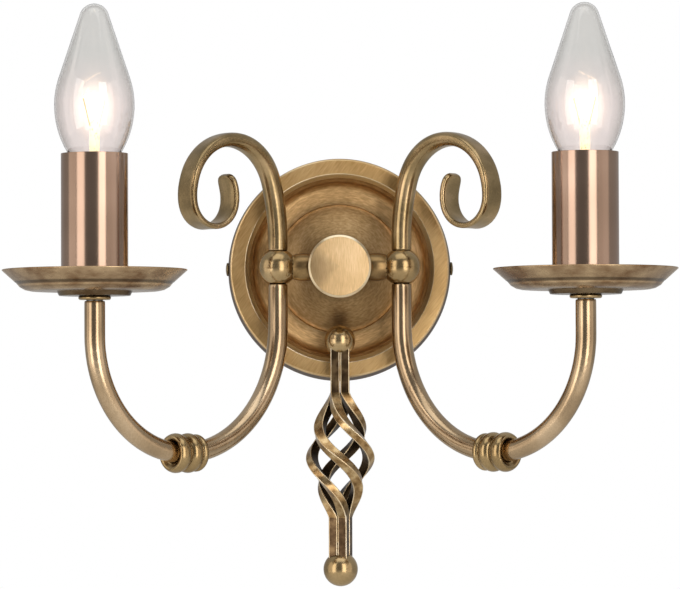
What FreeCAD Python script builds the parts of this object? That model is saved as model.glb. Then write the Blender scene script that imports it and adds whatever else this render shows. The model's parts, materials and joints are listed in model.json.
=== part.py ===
import FreeCAD, Part
import math
import os

# Double arm wall sconce in antique brass, with two candle lamps.
# Right-handed frame: X to the right, Y into the wall, Z up. The wall is the plane Y = 0, and
# the origin is where the hub's axis meets it, so the whole light stands at negative Y.

os.makedirs("parts", exist_ok=True)
V = FreeCAD.Vector

# ---- Driving dimensions (millimetres and degrees) -------------------------------------------

# Fits
seat_gap = 0.03            # round pieces that are fixed into one another
running_gap = 0.3          # round pieces that slide or turn
wire_slack = 0.4           # round a lead in its passage
screw_clearance = 0.3      # round a screw in a clearance hole

# Canopy, a spun cup that covers the wiring at the wall. Depths are measured out from the wall.
canopy_radius = 50.0       # outer edge of the front ring
canopy_depth = 22.0        # the front ring stands this far from the wall
canopy_wall = 1.0
canopy_flare = 1.2         # the side wall is this much wider at the wall
canopy_standoff = 0.4      # its edge hangs just clear of the wall
rim_round = 1.3            # has to stay over the wall's thickness
ring_width = 5.7           # flat brushed ring
bevel_width = 1.8          # bright bevel inside the ring
bevel_drop = 1.6
moat_drop = 7.4            # the recess behind the ring
moat_wall_run = 1.6        # how far its steep wall leans inwards
moat_round = 3.9
step_radius = 29.5         # crisp step between the recess and the dome
step_height = 1.6
dome_bulge = 0.9           # how far the dome swells off a straight cone
dome_flat = 1.0            # flat of the dome round the hub

# Hub, a turned cup in front of the dome, closed by the round knob
hub_seat_depth = 27.0      # front of the dome, where the hub sits
hub_radius = 13.0
hub_length = 15.5
hub_wall = 3.6
hub_floor = 3.6
knob_radius = 14.2
knob_height = 4.5
knob_bevel = 0.9
knob_crown = 0.35
knob_skirt = 3.0
knob_skirt_wall = 1.6
arm_setback = 9.0          # from the hub's seat forward to the arms' axes

# Threaded tube through the hub and the canopy, with its washer and nut behind
stem_radius = 4.9
stem_bore = 3.6
stem_tail = 12.5           # length behind the canopy
washer_radius = 10.0
washer_thick = 1.5
nut_thick = 4.0
nut_across = 14.0

# Wall bracket, a strap whose ears take the canopy's side screws
strap_thick = 2.0
strap_width = 25.0
ear_width = 14.0
ear_gap = 1.6              # between an ear and the inside of the canopy
ear_reach = 15.0
fixing_spacing = 60.0      # between the two wall fixing slots
fixing_slot_width = 4.6
fixing_slot_length = 12.0
cable_hole_radius = 7.0
side_screw_radius = 1.9
side_screw_head_radius = 3.0
side_screw_head_height = 1.3
side_screw_slot = 0.8
side_screw_depth = 10.5    # distance of the side screws from the wall
side_screw_tail = 3.0      # thread inside the ear

# Terminal block and earth screw on the strap
block_width = 13.0
block_height = 11.0
block_pitch = 9.0
block_offset = 15.5        # from the hub's axis
block_screw_radius = 1.6
block_screw_slot = 0.5
block_round = 1.0
block_entry_radius = 2.2
earth_offset = 14.5
earth_screw_radius = 2.0
earth_head_radius = 3.6
earth_head_height = 2.4
earth_washer_thick = 0.9
earth_head_crown = 0.8
earth_cross_width = 0.8
earth_cross_depth = 1.4

# Spigots and balls that join the arms to the hub
ball_offset = 28.0         # from the hub's axis to a ball's centre
ball_radius = 8.65
spigot_radius = 6.3
spigot_neck = 5.2
spigot_shank = 4.0
spigot_bore = 3.2
spigot_shank_reach = 3.5   # of the shank into the ball
spigot_blank = 2.5         # how much longer the bead is turned before it is hollowed at both ends
ball_bore = 2.9            # wire way down into the arm tube
ball_bore_overrun = 1.9    # the cross bore runs this far past the ball's middle
nose_length = 3.0

# Arms: each lies in an upright plane that leans out of the wall by the splay angle
splay = 43.0
tube_radius = 4.6
tube_bore = 3.7
arm_inner_bend = 56.2
arm_outer_bend = 51.2
arm_drop = 83.5            # lowest point of the arm's axis below the hub

# Collar of two beads at the lowest point of each arm
knot_length = 16.0
knot_bead = 8.8
knot_waist = 6.7
knot_groove = 7.6
knot_end_ring = 8.3
knot_dish = 1.6            # depth of the hollow round the tube at its outer end
knot_dish_floor = 5.0      # outer radius of the hollow's floor
knot_lip = 0.9             # width of the lip round that hollow
knot_lip_radius = 7.6
knot_groove_width = 0.4

# Scroll: the tube's upper end, flattened and rolled up
scroll_bends = ((88.7, 17.1), (25.5, 150.0), (31.5, 12.9), (12.6, 180.0), (22.0, 30.0))   # radius, turn
scroll_stem = 5.1
scroll_pin_radius = 2.2
scroll_pin_length = 4.0
scroll_width = 11.6
scroll_thick = 3.2
scroll_round_until = 35.0  # length along the scroll where it starts to flatten
scroll_flat_from = 122.0   # and where it is flat
scroll_crease = 0.55
scroll_tip_round = 4.0

# Drop in front of the canopy: stud, ball, basket of four twisted square bars, ball
drop_clearance = 1.0       # between the bundle of bars and the front ring
stud_radius = 2.0
stud_shoulder_radius = 2.6
stud_tail = 1.2            # past its nut
stud_nut_thick = 3.2
stud_nut_across = 7.0
drop_ball_radius = 7.0
stud_shoulder_gap = 0.1    # from the stud's shoulder to the round at the foot of the recess
bar_width = 4.2
bar_chamfer = 0.55
bar_gap = 0.25             # between neighbouring bars where they run as a bundle
basket_top = -56.5
basket_bottom = -113.3
basket_radius = 15.8       # over the outer corners of the bars
basket_fullness = 0.725
basket_twist = 251.0
basket_ease = 0.1          # how much gentler the twist is at both ends, 0 for an even twist
bar_socket = 3.1           # how far above a ball's middle the bars end
finial_radius = 7.8
finial_height = -136.6

# Drip pan
pan_radius = 40.3
pan_rim_height = -4.2
pan_wall = 1.0
pan_cone_drop = 5.4
pan_cone_run = 5.8
pan_groove = 0.45
pan_bowl_radius = 28.0
pan_bowl_drop = 9.4
pan_boss_radius = 16.5
pan_boss_taper = 1.0
pan_boss_drop = 10.7
pan_collar_radius = 7.1
pan_collar_height = 1.8
pan_collar_bulge = 0.6

# Threaded tube, nut and foot that hold the lampholder over the pan
nipple_radius = 3.65
nipple_bore = 2.6
nipple_in_arm = 9.0
pan_nut_thick = 3.0
pan_nut_across = 12.0
foot_radius = 8.5
foot_thick = 2.5
foot_strip_width = 6.0
foot_strip_thick = 1.2

# Candle sleeve
sleeve_radius = 14.6
sleeve_wall = 0.5
sleeve_edge = 0.15         # bevel of its upper edge
sleeve_top = 46.9          # height over the hub's axis

# Lampholder for a small screw cap
holder_radius = 11.5
holder_length = 29.0
holder_below_top = 11.0    # its mouth lies this far below the top of the sleeve
holder_floor = 3.0
holder_edge = 1.0
holder_flute_radius = 1.2
holder_flute_depth = 0.7
shell_recess = 0.5         # the screw shell ends this far inside the holder's mouth
shell_lip = 2.0            # its lower edge is turned in by this much
shell_wall = 0.4
shell_gap = 0.1
contact_width = 4.0
contact_thick = 0.5

# Candle lamp, 35 mm across, with a 14 mm screw cap
cap_radius = 6.75
cap_length = 20.0
cap_below_top = 10.0       # the cap starts this far below the top of the sleeve
cap_wall = 0.3
cap_foot_step = 1.2        # its lower end is drawn in by this much
cap_foot_height = 2.0
insulator_height = 3.0
insulator_foot = 3.2
button_radius = 2.4
button_height = 1.4
glass_radius = 17.5
glass_widest = 21.0        # its widest point, over the top of the sleeve
glass_tip = 65.3
glass_wall = 0.8
glass_flank_bend = 37.6    # bend radius from the widest point up to the straight flank
glass_flank_lean = 18.5
glass_belly_bend = 39.9    # bend radius from the widest point down to the neck
glass_belly_lean = 28.5
glass_neck = 6.35
neck_seat = 3.0            # length of the neck inside the cap
lamp_stem_top = 15.0       # over the top of the sleeve
lamp_stem_radius = 2.2
lamp_flare_radius = 5.2
lamp_flare_height = 8.0    # from the neck up to where the rod is plain
filament_height = 24.0
filament_span = 13.0
filament_radius = 0.35
support_radius = 0.3
support_root = 3.0         # the wires start this far below the stem's top
filament_rise = 2.3        # height of the filament's arch

# Leads
lead_radius = 1.3
lead_offset = 1.5          # the two leads run this far either side of the hub's middle plane
lead_loop = 4.5            # straight stretch out of the terminal block
lead_rise = 3.0            # each lead clears the strap by this much more where it turns into the stem
lead_turns = (3.0, 3.0, 4.0, 3.5)   # its bend radii from the block to the ball
lead_end_gap = 0.5         # below the floor of the lampholder

# ---- Places that follow from them -----------------------------------------------------------

arm_depth = hub_seat_depth + arm_setback
hub_front = hub_seat_depth + hub_length
arm_reach = arm_inner_bend + arm_outer_bend
ball_flat = math.sqrt(ball_radius ** 2 - tube_radius ** 2)
spigot_end = ball_offset - ball_radius + spigot_shank_reach
drop_depth = canopy_depth + bar_width + bar_gap / 2 + drop_clearance
stud_seat = drop_depth - math.sqrt(drop_ball_radius ** 2 - stud_shoulder_radius ** 2)
canopy_floor = canopy_depth - moat_drop
floor_radius = canopy_radius - rim_round - ring_width - bevel_width - moat_wall_run - moat_round
drop_ball_height = stud_shoulder_radius + stud_shoulder_gap - floor_radius
block_entry_depth = strap_thick + 0.3 * block_height
stud_nut_front = canopy_floor - canopy_wall
pan_floor = pan_rim_height - pan_boss_drop
pan_inside = pan_floor + pan_wall
arm_end = pan_floor - pan_collar_height
nut_top = pan_inside + pan_nut_thick
foot_top = nut_top + foot_thick
holder_top = sleeve_top - holder_below_top
holder_bottom = holder_top - holder_length
cap_top = sleeve_top - cap_below_top
cap_bottom = cap_top - cap_length
button_bottom = cap_bottom - insulator_height - button_height
bar_circle = (bar_width + bar_gap) / math.sqrt(2)
sides = {"right": -splay, "left": splay - 180.0}


# ---- Helpers --------------------------------------------------------------------------------

def outline(start, *steps):
    """Edges in the XZ plane: a step is a point to run straight to, or (via, end) for an arc."""
    edges = []
    here = V(start[0], 0, start[1])
    for step in steps:
        if isinstance(step[0], tuple):
            via = V(step[0][0], 0, step[0][1])
            end = V(step[1][0], 0, step[1][1])
            edges.append(Part.Arc(here, via, end).toShape())
        else:
            end = V(step[0], 0, step[1])
            edges.append(Part.LineSegment(here, end).toShape())
        here = end
    return edges


def crown(radius, base, height):
    """Spherical cap for an outline: from (radius, base) to the axis, height above the base."""
    sphere = (radius ** 2 + height ** 2) / (2 * height)
    sink = math.copysign(math.sqrt(sphere ** 2 - radius ** 2 / 4), sphere) - sphere
    return (radius / 2, base + height + sink), (0, base + height)


def turned(start, *steps):
    """Solid of revolution about Z whose half section is the closed outline."""
    face = Part.Face(Part.Wire(outline(start, *steps, start)))
    return face.revolve(V(0, 0, 0), V(0, 0, 1), 360)


def spun(wall, start, *steps):
    """Sheet shell about Z: the open outline given one wall thickness, then turned."""
    line = Part.Wire(outline(start, *steps))
    section = line.makeOffset2D(wall, 2, True, True)
    return section.revolve(V(0, 0, 0), V(0, 0, 1), 360)


def rod(radius, low, high, bore=0.0):
    """Round bar or tube about Z between two heights."""
    bar = Part.makeCylinder(radius, high - low, V(0, 0, low))
    if bore:
        bar = bar.cut(Part.makeCylinder(bore, high - low, V(0, 0, low)))
    return bar


def hexagon(across, low, high, bore):
    """Hexagon nut about Z with its corners rounded off by a chamfering cone."""
    corner = across / math.sqrt(3)
    ring = [V(corner * math.cos(math.radians(60 * k)), corner * math.sin(math.radians(60 * k)), low)
            for k in range(7)]
    nut = Part.Face(Part.makePolygon(ring)).extrude(V(0, 0, high - low))
    relief = 0.25 * (high - low)
    blank = turned((0, low), (across / 2, low), (corner, low + relief), (corner, high - relief),
                   (across / 2, high), (0, high))
    return nut.common(blank).cut(rod(bore, low, high))


def placed(shape, position=V(0, 0, 0), axis=V(0, 0, 1), angle=0.0):
    """Copy of a shape, turned about an axis through the origin and then moved."""
    copy = shape.copy()
    turn = FreeCAD.Placement(position, FreeCAD.Rotation(axis, angle))
    copy.Placement = turn.multiply(copy.Placement)
    return copy


def out_of_wall(shape):
    """Local Z becomes the way out of the wall, and local Y becomes up."""
    return placed(shape, axis=V(1, 0, 0), angle=90)


def from_hub(shape, side):
    """Local Z becomes the way from the hub's axis out to one ball."""
    turned_out = placed(shape, axis=V(0, 1, 0), angle=90 if side == "right" else -90)
    return placed(turned_out, position=V(0, -arm_depth, 0))


def ball_centre(side):
    return V(ball_offset if side == "right" else -ball_offset, -arm_depth, 0)


def on_arm(shape, side):
    """Local X becomes the way outboard in the arm's plane, from the ball's centre."""
    return placed(shape, position=ball_centre(side), angle=sides[side])


def on_candle(shape, side):
    """Local Z becomes the candle's axis, with heights as over the hub's axis."""
    return on_arm(placed(shape, position=V(arm_reach, 0, 0)), side)


def route(points, radii):
    """Wire through points with each inner corner rounded to its radius."""
    edges = []
    here = points[0]
    for corner, after, radius in zip(points[1:-1], points[2:], radii):
        back = (here - corner).normalize()
        ahead = (after - corner).normalize()
        half = back.getAngle(ahead) / 2
        run = radius / math.tan(half)
        first = corner + back * run
        last = corner + ahead * run
        centre = corner + (back + ahead).normalize() * (radius / math.sin(half))
        middle = centre + (corner - centre).normalize() * radius
        if (first - here).Length > 1e-6:
            edges.append(Part.LineSegment(here, first).toShape())
        edges.append(Part.Arc(first, middle, last).toShape())
        here = last
    if (points[-1] - here).Length > 1e-6:
        edges.append(Part.LineSegment(here, points[-1]).toShape())
    return Part.Wire(edges)


def along(wire, radius):
    """Round bar swept along a wire of tangent lines and arcs."""
    start = wire.OrderedEdges[0]
    heading = start.tangentAt(start.FirstParameter)
    circle = Part.Wire(Part.makeCircle(radius, wire.OrderedVertexes[0].Point, heading))
    return wire.makePipeShell([circle], True, False)


def save(name, shape):
    """One file per piece, under the name that a person would use for it."""
    solids = shape.Solids
    if not solids or not all(solid.isValid() and solid.Volume > 0 for solid in solids):
        raise ValueError(name + " is not a sound solid")
    whole = solids[0] if len(solids) == 1 else Part.makeCompound(solids)
    whole.exportStep("parts/" + name + ".step")
    print(name, len(solids), round(sum(solid.Volume for solid in solids), 2))


# ---- Canopy and wall bracket ----------------------------------------------------------------

def canopy_side_radius(depth):
    """Outer radius of the flared side wall at a distance from the wall."""
    return canopy_radius + canopy_flare * (canopy_depth - depth) / (canopy_depth - canopy_standoff)


def canopy():
    """Spun cup: side wall, flat ring, bevel, recess, step and dome, drawn on its outer face."""
    ring_inner = canopy_radius - rim_round - ring_width
    bevel_end = (ring_inner - bevel_width, canopy_depth - bevel_drop)
    floor = canopy_floor
    wall_foot = (bevel_end[0] - moat_wall_run, floor + moat_round)
    floor_edge = (floor_radius, floor)
    swing = moat_round * (1 - math.sqrt(0.5))
    step_top = (step_radius - step_height / 4, floor + step_height)
    seat_edge = (hub_radius + dome_flat, hub_seat_depth)
    dome_mid = ((step_top[0] + seat_edge[0]) / 2 + dome_bulge * 0.6,
                (step_top[1] + seat_edge[1]) / 2 + dome_bulge)
    round_mid = rim_round * math.sqrt(0.5)
    shell = spun(canopy_wall,
                 (canopy_side_radius(canopy_standoff), canopy_standoff),
                 (canopy_radius, canopy_depth - rim_round),
                 ((canopy_radius - rim_round + round_mid, canopy_depth - rim_round + round_mid),
                  (canopy_radius - rim_round, canopy_depth)),
                 (ring_inner, canopy_depth),
                 bevel_end,
                 wall_foot,
                 ((wall_foot[0] - swing, floor + swing), floor_edge),
                 (step_radius, floor),
                 step_top,
                 (dome_mid, seat_edge),
                 (stem_radius + seat_gap, hub_seat_depth))
    stud_hole = on_drop_stud(rod(stud_radius + screw_clearance, 0, canopy_depth))
    shoulder_seat = on_drop_stud(rod(stud_shoulder_radius, floor, canopy_depth))
    screw_holes = side_screw_shanks(side_screw_radius + screw_clearance)
    return out_of_wall(shell).cut([screw_holes, stud_hole, shoulder_seat])


def side_screw_seat():
    """Where the heads bear: on the side wall at the edge of the head that is nearer the wall."""
    return canopy_side_radius(side_screw_depth - side_screw_head_radius)


def side_screw_shanks(radius):
    """Two bars on the line of the side screws, through the side wall and the ears."""
    bars = []
    for direction in (1, -1):
        inner = ear_outer() - strap_thick - side_screw_tail
        bar = placed(rod(radius, inner, side_screw_seat()), axis=V(0, 1, 0), angle=90 * direction)
        bars.append(placed(bar, position=V(0, -side_screw_depth, 0)))
    return Part.makeCompound(bars)


def ear_outer():
    """Outer face of the strap's ears, kept clear of the canopy at their corners."""
    inside = canopy_radius - canopy_wall - ear_gap
    return math.sqrt(inside ** 2 - (ear_width / 2) ** 2)


def canopy_side_screws():
    """Pan-head screws through the side wall into the ears of the strap."""
    seat = side_screw_seat()
    rise = 0.4 * side_screw_head_height
    groove = side_screw_slot / 2
    screws = []
    for direction in (1, -1):
        shank = rod(side_screw_radius, ear_outer() - strap_thick - side_screw_tail, seat)
        head = turned((0, seat), (side_screw_head_radius, seat),
                      (side_screw_head_radius, seat + side_screw_head_height - rise),
                      crown(side_screw_head_radius, seat + side_screw_head_height - rise, rise))
        slot = Part.makeBox(2 * side_screw_head_radius, 2 * groove, side_screw_head_height,
                            V(-side_screw_head_radius, -groove, seat + side_screw_head_height / 2))
        screw = shank.fuse(head).removeSplitter().cut(slot)
        lying = placed(screw, axis=V(0, 1, 0), angle=90 * direction)
        screws.append(placed(lying, position=V(0, -side_screw_depth, 0)))
    return Part.makeCompound(screws)


def strap_outline(half_length):
    """Flat of the strap, drawn in with round shoulders towards the ears."""
    half = strap_width / 2
    ear = ear_width / 2
    shoulder = half - ear
    start = half_length - 2 * shoulder
    right = [Part.makeLine(V(-start, -half, 0), V(start, -half, 0)),
             Part.Arc(V(start, -half, 0),
                      V(start + shoulder * math.sqrt(0.5), -half + shoulder * (1 - math.sqrt(0.5)), 0),
                      V(start + shoulder, -ear, 0)).toShape(),
             Part.makeLine(V(start + shoulder, -ear, 0), V(half_length, -ear, 0)),
             Part.makeLine(V(half_length, -ear, 0), V(half_length, ear, 0)),
             Part.makeLine(V(half_length, ear, 0), V(start + shoulder, ear, 0)),
             Part.Arc(V(start + shoulder, ear, 0),
                      V(start + shoulder * math.sqrt(0.5), half - shoulder * (1 - math.sqrt(0.5)), 0),
                      V(start, half, 0)).toShape(),
             Part.makeLine(V(start, half, 0), V(-start, half, 0))]
    left = [edge.rotated(V(0, 0, 0), V(0, 0, 1), 180) for edge in right[1:-1]]
    return Part.Face(Part.Wire(Part.sortEdges(right + left)[0]))


def wall_bracket():
    """Steel strap with two slots for wall screws, a cable hole and two turned-up ears."""
    outer = ear_outer()
    strap = strap_outline(outer).extrude(V(0, 0, strap_thick))
    for direction in (1, -1):
        ear = Part.makeBox(strap_thick, ear_width, ear_reach, V(outer - strap_thick, -ear_width / 2, 0))
        tips = [edge for edge in ear.Edges
                if edge.BoundBox.ZMin > ear_reach - 1e-3 and edge.BoundBox.XLength > strap_thick / 2]
        ear = ear.makeFillet(ear_width / 3, tips)
        strap = strap.fuse(placed(ear, angle=0 if direction == 1 else 180))
    bends = [edge for edge in strap.removeSplitter().Edges
             if abs(edge.BoundBox.ZMax) < 1e-3 and abs(abs(edge.CenterOfMass.x) - outer) < 1e-3]
    strap = strap.removeSplitter().makeFillet(strap_thick * 0.8, bends)
    strap = strap.cut(rod(cable_hole_radius, 0, strap_thick))
    for direction in (1, -1):
        middle = direction * fixing_spacing / 2
        run = (fixing_slot_length - fixing_slot_width) / 2
        for end in (-run, run):
            strap = strap.cut(Part.makeCylinder(fixing_slot_width / 2, strap_thick, V(middle + end, 0, 0)))
        strap = strap.cut(Part.makeBox(2 * run, fixing_slot_width, strap_thick,
                                       V(middle - run, -fixing_slot_width / 2, 0)))
    strap = strap.cut(Part.makeCylinder(earth_screw_radius + seat_gap, strap_thick, V(-earth_offset, 0, 0)))
    for end in (1, -1):
        strap = strap.cut(block_peg(end, seat_gap))
    return out_of_wall(strap).cut(side_screw_shanks(side_screw_radius + seat_gap))


def block_peg(end, clearance):
    """Round peg under one end of the terminal block, which snaps into the strap."""
    return Part.makeCylinder(block_screw_radius + clearance, strap_thick,
                             V(block_offset, end * block_pitch / 2, 0))


def terminal_block():
    """Moulded two-pole block with a barrel over each pole, a wire way and a screw well."""
    low = strap_thick
    base = Part.makeBox(block_width, 2 * block_pitch, block_height * 0.45,
                        V(block_offset - block_width / 2, -block_pitch, low))
    block = base.makeFillet(block_round, [edge for edge in base.Edges if edge.BoundBox.ZLength > 1])
    for pole in (1, -1):
        place = V(block_offset, pole * block_pitch / 2, low)
        barrel = Part.makeCylinder(block_pitch * 0.42, block_height, place)
        block = block.fuse(barrel)
    block = block.removeSplitter()
    for pole in (1, -1):
        across = pole * block_pitch / 2
        way = placed(rod(block_entry_radius, -block_width, block_width), axis=V(0, 1, 0), angle=90)
        block = block.cut(placed(way, position=V(block_offset, across, block_entry_depth)))
        well = Part.makeCylinder(block_screw_radius + seat_gap, block_height,
                                 V(block_offset, across, block_entry_depth))
        block = block.cut(well)
    for end in (1, -1):
        block = block.fuse(block_peg(end, 0.0))
    return out_of_wall(block.removeSplitter())


def terminal_screws():
    """One slotted grub screw in each pole of the block."""
    low = block_entry_depth + block_entry_radius
    high = strap_thick + block_height * 0.85
    screws = []
    for pole in (1, -1):
        screw = rod(block_screw_radius, low, high)
        slot = Part.makeBox(2 * block_screw_radius, block_screw_slot, block_screw_radius / 2,
                            V(-block_screw_radius, -block_screw_slot / 2, high - block_screw_radius / 2))
        screws.append(placed(screw.cut(slot), position=V(block_offset, pole * block_pitch / 2, 0)))
    return out_of_wall(Part.makeCompound(screws))


def earth_screw():
    """Earth terminal: a pan-head screw with its saddle washer, screwed into the strap."""
    seat = strap_thick
    washer_top = seat + earth_washer_thick
    head_top = washer_top + earth_head_height
    screw = turned((0, 0), (earth_screw_radius, 0), (earth_screw_radius, seat),
                   (earth_head_radius * 1.25, seat), (earth_head_radius * 1.25, washer_top),
                   (earth_head_radius, washer_top), (earth_head_radius, head_top - earth_head_crown),
                   crown(earth_head_radius, head_top - earth_head_crown, earth_head_crown))
    cross_reach = earth_head_radius * 0.55
    for angle in (0, 90):
        groove = Part.makeBox(2 * cross_reach, earth_cross_width, earth_cross_depth,
                              V(-cross_reach, -earth_cross_width / 2, head_top - earth_cross_depth))
        screw = screw.cut(placed(groove, angle=angle))
    return out_of_wall(placed(screw, position=V(-earth_offset, 0, 0)))


# ---- Hub ------------------------------------------------------------------------------------

def hub():
    """Turned cup with a wiring chamber, and ports for the stem and both spigots."""
    chamber = hub_radius - hub_wall
    cup = turned((stem_radius + seat_gap, hub_seat_depth), (hub_radius, hub_seat_depth),
                 (hub_radius, hub_front), (chamber, hub_front),
                 (chamber, hub_seat_depth + hub_floor),
                 (stem_radius + seat_gap, hub_seat_depth + hub_floor))
    cup = out_of_wall(cup)
    for side in sides:
        cup = cup.cut(from_hub(rod(spigot_shank + seat_gap, 0, hub_radius), side))
    return cup


def hub_knob():
    """Round cover with a brushed face, a bright bevel and a skirt that fits the chamber."""
    face = hub_front + knob_height
    skirt = hub_radius - hub_wall - seat_gap
    edge = knob_radius - knob_bevel
    inner = skirt - knob_skirt_wall
    knob = turned((0, hub_front), (inner, hub_front), (inner, hub_front - knob_skirt),
                  (skirt, hub_front - knob_skirt), (skirt, hub_front), (knob_radius, hub_front),
                  (knob_radius, face - knob_bevel), (edge, face), crown(edge, face, knob_crown))
    return out_of_wall(knob)


def hub_stem():
    """Threaded tube that clamps the hub to the canopy and carries both leads."""
    return out_of_wall(rod(stem_radius, hub_seat_depth - canopy_wall - stem_tail,
                           hub_seat_depth + hub_floor, stem_bore))


def hub_washer():
    back = hub_seat_depth - canopy_wall
    return out_of_wall(rod(washer_radius, back - washer_thick, back, stem_radius + seat_gap))


def hub_lock_nut():
    high = hub_seat_depth - canopy_wall - washer_thick
    return out_of_wall(hexagon(nut_across, high - nut_thick, high, stem_radius + seat_gap))


# ---- Joints between hub and arms ------------------------------------------------------------

def hub_blank(clearance):
    """Space taken by the hub, which the spigot beads are hollowed to."""
    return placed(Part.makeCylinder(hub_radius + clearance, 4 * hub_length, V(0, 0, -2 * hub_length)),
                  position=V(0, -arm_depth, 0), axis=V(1, 0, 0), angle=90)


def spigot(side):
    """Rounded bead with a hollow shank that screws into the hub and into the ball."""
    low = hub_radius - spigot_blank
    high = ball_offset - ball_radius + spigot_blank
    middle = (low + high) / 2
    bead = turned((0, low), (spigot_neck, low), ((spigot_radius, middle), (spigot_neck, high)), (0, high))
    bead = from_hub(bead, side).cut(hub_blank(seat_gap))
    bead = bead.cut(Part.makeSphere(ball_radius + seat_gap, ball_centre(side)))
    shank = rod(spigot_shank, hub_radius - hub_wall, spigot_end)
    whole = bead.fuse(from_hub(shank, side)).removeSplitter()
    return whole.cut(from_hub(rod(spigot_bore, 0, ball_offset), side))


def arm_ball(side):
    """Ball with a flat above and below, bored for the lead, with a nose inside the arm tube."""
    ball = placed(Part.makeSphere(ball_radius), angle=90)
    slab = Part.makeBox(4 * ball_radius, 4 * ball_radius, 2 * ball_flat,
                        V(-2 * ball_radius, -2 * ball_radius, -ball_flat))
    ball = ball.common(slab)
    ball = ball.fuse(rod(tube_bore - seat_gap, -ball_flat - nose_length, -ball_flat + 1)).removeSplitter()
    ball = ball.cut(rod(ball_bore, -ball_flat - nose_length, 0))
    ball = ball.cut(rod(scroll_pin_radius + seat_gap, ball_flat - scroll_pin_length, ball_flat))
    whole = placed(ball, position=ball_centre(side))
    whole = whole.cut(from_hub(rod(spigot_bore, 0, ball_offset + ball_bore_overrun), side))
    return whole.cut(from_hub(rod(spigot_shank + seat_gap, 0, spigot_end), side))


# ---- Arms -----------------------------------------------------------------------------------

def arm_line(high_inner, high_outer):
    """Axis of the U-shaped arm in its own plane, between two heights."""
    points = [V(0, 0, high_inner), V(0, 0, -arm_drop), V(arm_reach, 0, -arm_drop),
              V(arm_reach, 0, high_outer)]
    return route(points, (arm_inner_bend, arm_outer_bend))


def arm_tube(side):
    """Bent brass tube from the ball down, round the U and up to the pan."""
    line = arm_line(-ball_flat, arm_end)
    return on_arm(along(line, tube_radius).cut(along(line, tube_bore)), side)


def knot_collar(side):
    """Collar of two beads and an end ring, slipped over the lowest point of the arm."""
    half = knot_length / 2
    hollow = tube_radius * 0.8
    first = -half + 0.2 * knot_length      # middle of the outboard bead
    waist = -half + 0.42 * knot_length
    second = -half + 0.62 * knot_length
    groove = -half + 0.81 * knot_length
    ring = (groove + half) / 2
    profile = turned((hollow, -half + knot_dish), (knot_dish_floor, -half + knot_dish),
                     (knot_lip_radius - knot_lip, -half), (knot_lip_radius, -half),
                     ((knot_bead, first), (knot_waist, waist)),
                     ((knot_bead, second), (knot_groove, groove - knot_groove_width / 2)),
                     (knot_groove, groove + knot_groove_width / 2),
                     ((knot_end_ring, ring), (knot_groove, half)),
                     (hollow, half))
    collar = placed(profile, axis=V(0, 1, 0), angle=-90)
    collar = placed(collar, position=V(arm_inner_bend, 0, -arm_drop))
    bore = along(arm_line(-ball_flat, arm_end), tube_radius + seat_gap)
    return on_arm(collar.cut(bore), side)


# ---- Scroll ---------------------------------------------------------------------------------

def scroll_length():
    return scroll_stem + sum(radius * math.radians(turn) for radius, turn in scroll_bends)


def scroll_frame(distance):
    """Point on the scroll's axis and its heading there, in the arm's plane."""
    point = V(0, 0, ball_flat)
    heading = V(0, 0, 1)
    left = distance
    step = min(left, scroll_stem)
    point = point + heading * step
    left -= step
    for radius, turn in scroll_bends:
        centre = point + V(heading.z, 0, -heading.x) * radius
        angle = min(left / radius, math.radians(turn))
        spin = FreeCAD.Rotation(V(0, 1, 0), math.degrees(angle))
        point = centre + spin.multVec(point - centre)
        heading = spin.multVec(heading)
        left -= angle * radius
        if left <= 1e-9:
            break
    return point, heading


def scroll_section(distance):
    """Closed section across the scroll: round at the ball, a creased flat strip at the tip."""
    length = scroll_length()
    flat = min(max((distance - scroll_round_until) / (scroll_flat_from - scroll_round_until), 0), 1)
    flat = flat * (1 + (1 - flat) * 0.3)
    half_width = tube_radius + (scroll_width / 2 - tube_radius) * flat
    half_thick = tube_radius + (scroll_thick / 2 - tube_radius) * flat
    from_tip = length - distance
    if from_tip < scroll_tip_round:
        short = 1 - from_tip / scroll_tip_round
        half_width -= scroll_tip_round * (1 - math.sqrt(1 - short ** 2))
    power = 2 / (2 + 2 * flat)
    point, heading = scroll_frame(distance)
    outwards = V(-heading.z, 0, heading.x)
    corner_count = 16
    ring = []
    for k in range(corner_count):
        angle = 2 * math.pi * (k + 0.5) / corner_count
        across = math.copysign(abs(math.cos(angle)) ** power, math.cos(angle))
        deep = math.copysign(abs(math.sin(angle)) ** power, math.sin(angle))
        offset = half_thick * deep
        if deep > 0:
            offset -= scroll_crease * flat * (1 - across ** 2) * deep
        ring.append(point + V(0, 1, 0) * (half_width * across) + outwards * offset)
    return Part.makePolygon(ring + ring[:1])


def scroll(side):
    """Crook above the ball, lofted through its sections, with a pin down into the ball."""
    length = scroll_length()
    straight = [0.0, scroll_stem]
    station_count = 22
    rolled = [scroll_stem + (length - scroll_tip_round - scroll_stem) * k / station_count
              for k in range(1, station_count + 1)]
    tip = [length - scroll_tip_round * share for share in (0.6, 0.3, 0.1, 0.0)]
    sections = [scroll_section(distance) for distance in straight + rolled + tip]
    crook = Part.makeLoft(sections, True, False)
    pin = rod(scroll_pin_radius, ball_flat - scroll_pin_length, ball_flat + 1)
    return on_arm(crook.fuse(pin), side)


# ---- Drop -----------------------------------------------------------------------------------

def in_drop(shape):
    """Local Z becomes the drop's upright axis, with heights as over the hub's axis."""
    return placed(shape, position=V(0, -drop_depth, 0))


def on_drop_stud(shape):
    """Local Z becomes the way out of the wall, on the line of the stud."""
    return placed(out_of_wall(shape), position=V(0, 0, drop_ball_height))


def drop_rod():
    """Threaded stud from behind the canopy's recess, with a shoulder that holds the ball off it."""
    shank = rod(stud_radius, stud_nut_front - stud_nut_thick - stud_tail, drop_depth)
    shoulder = rod(stud_shoulder_radius, canopy_floor, stud_seat)
    return on_drop_stud(shank.fuse(shoulder).removeSplitter())


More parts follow.
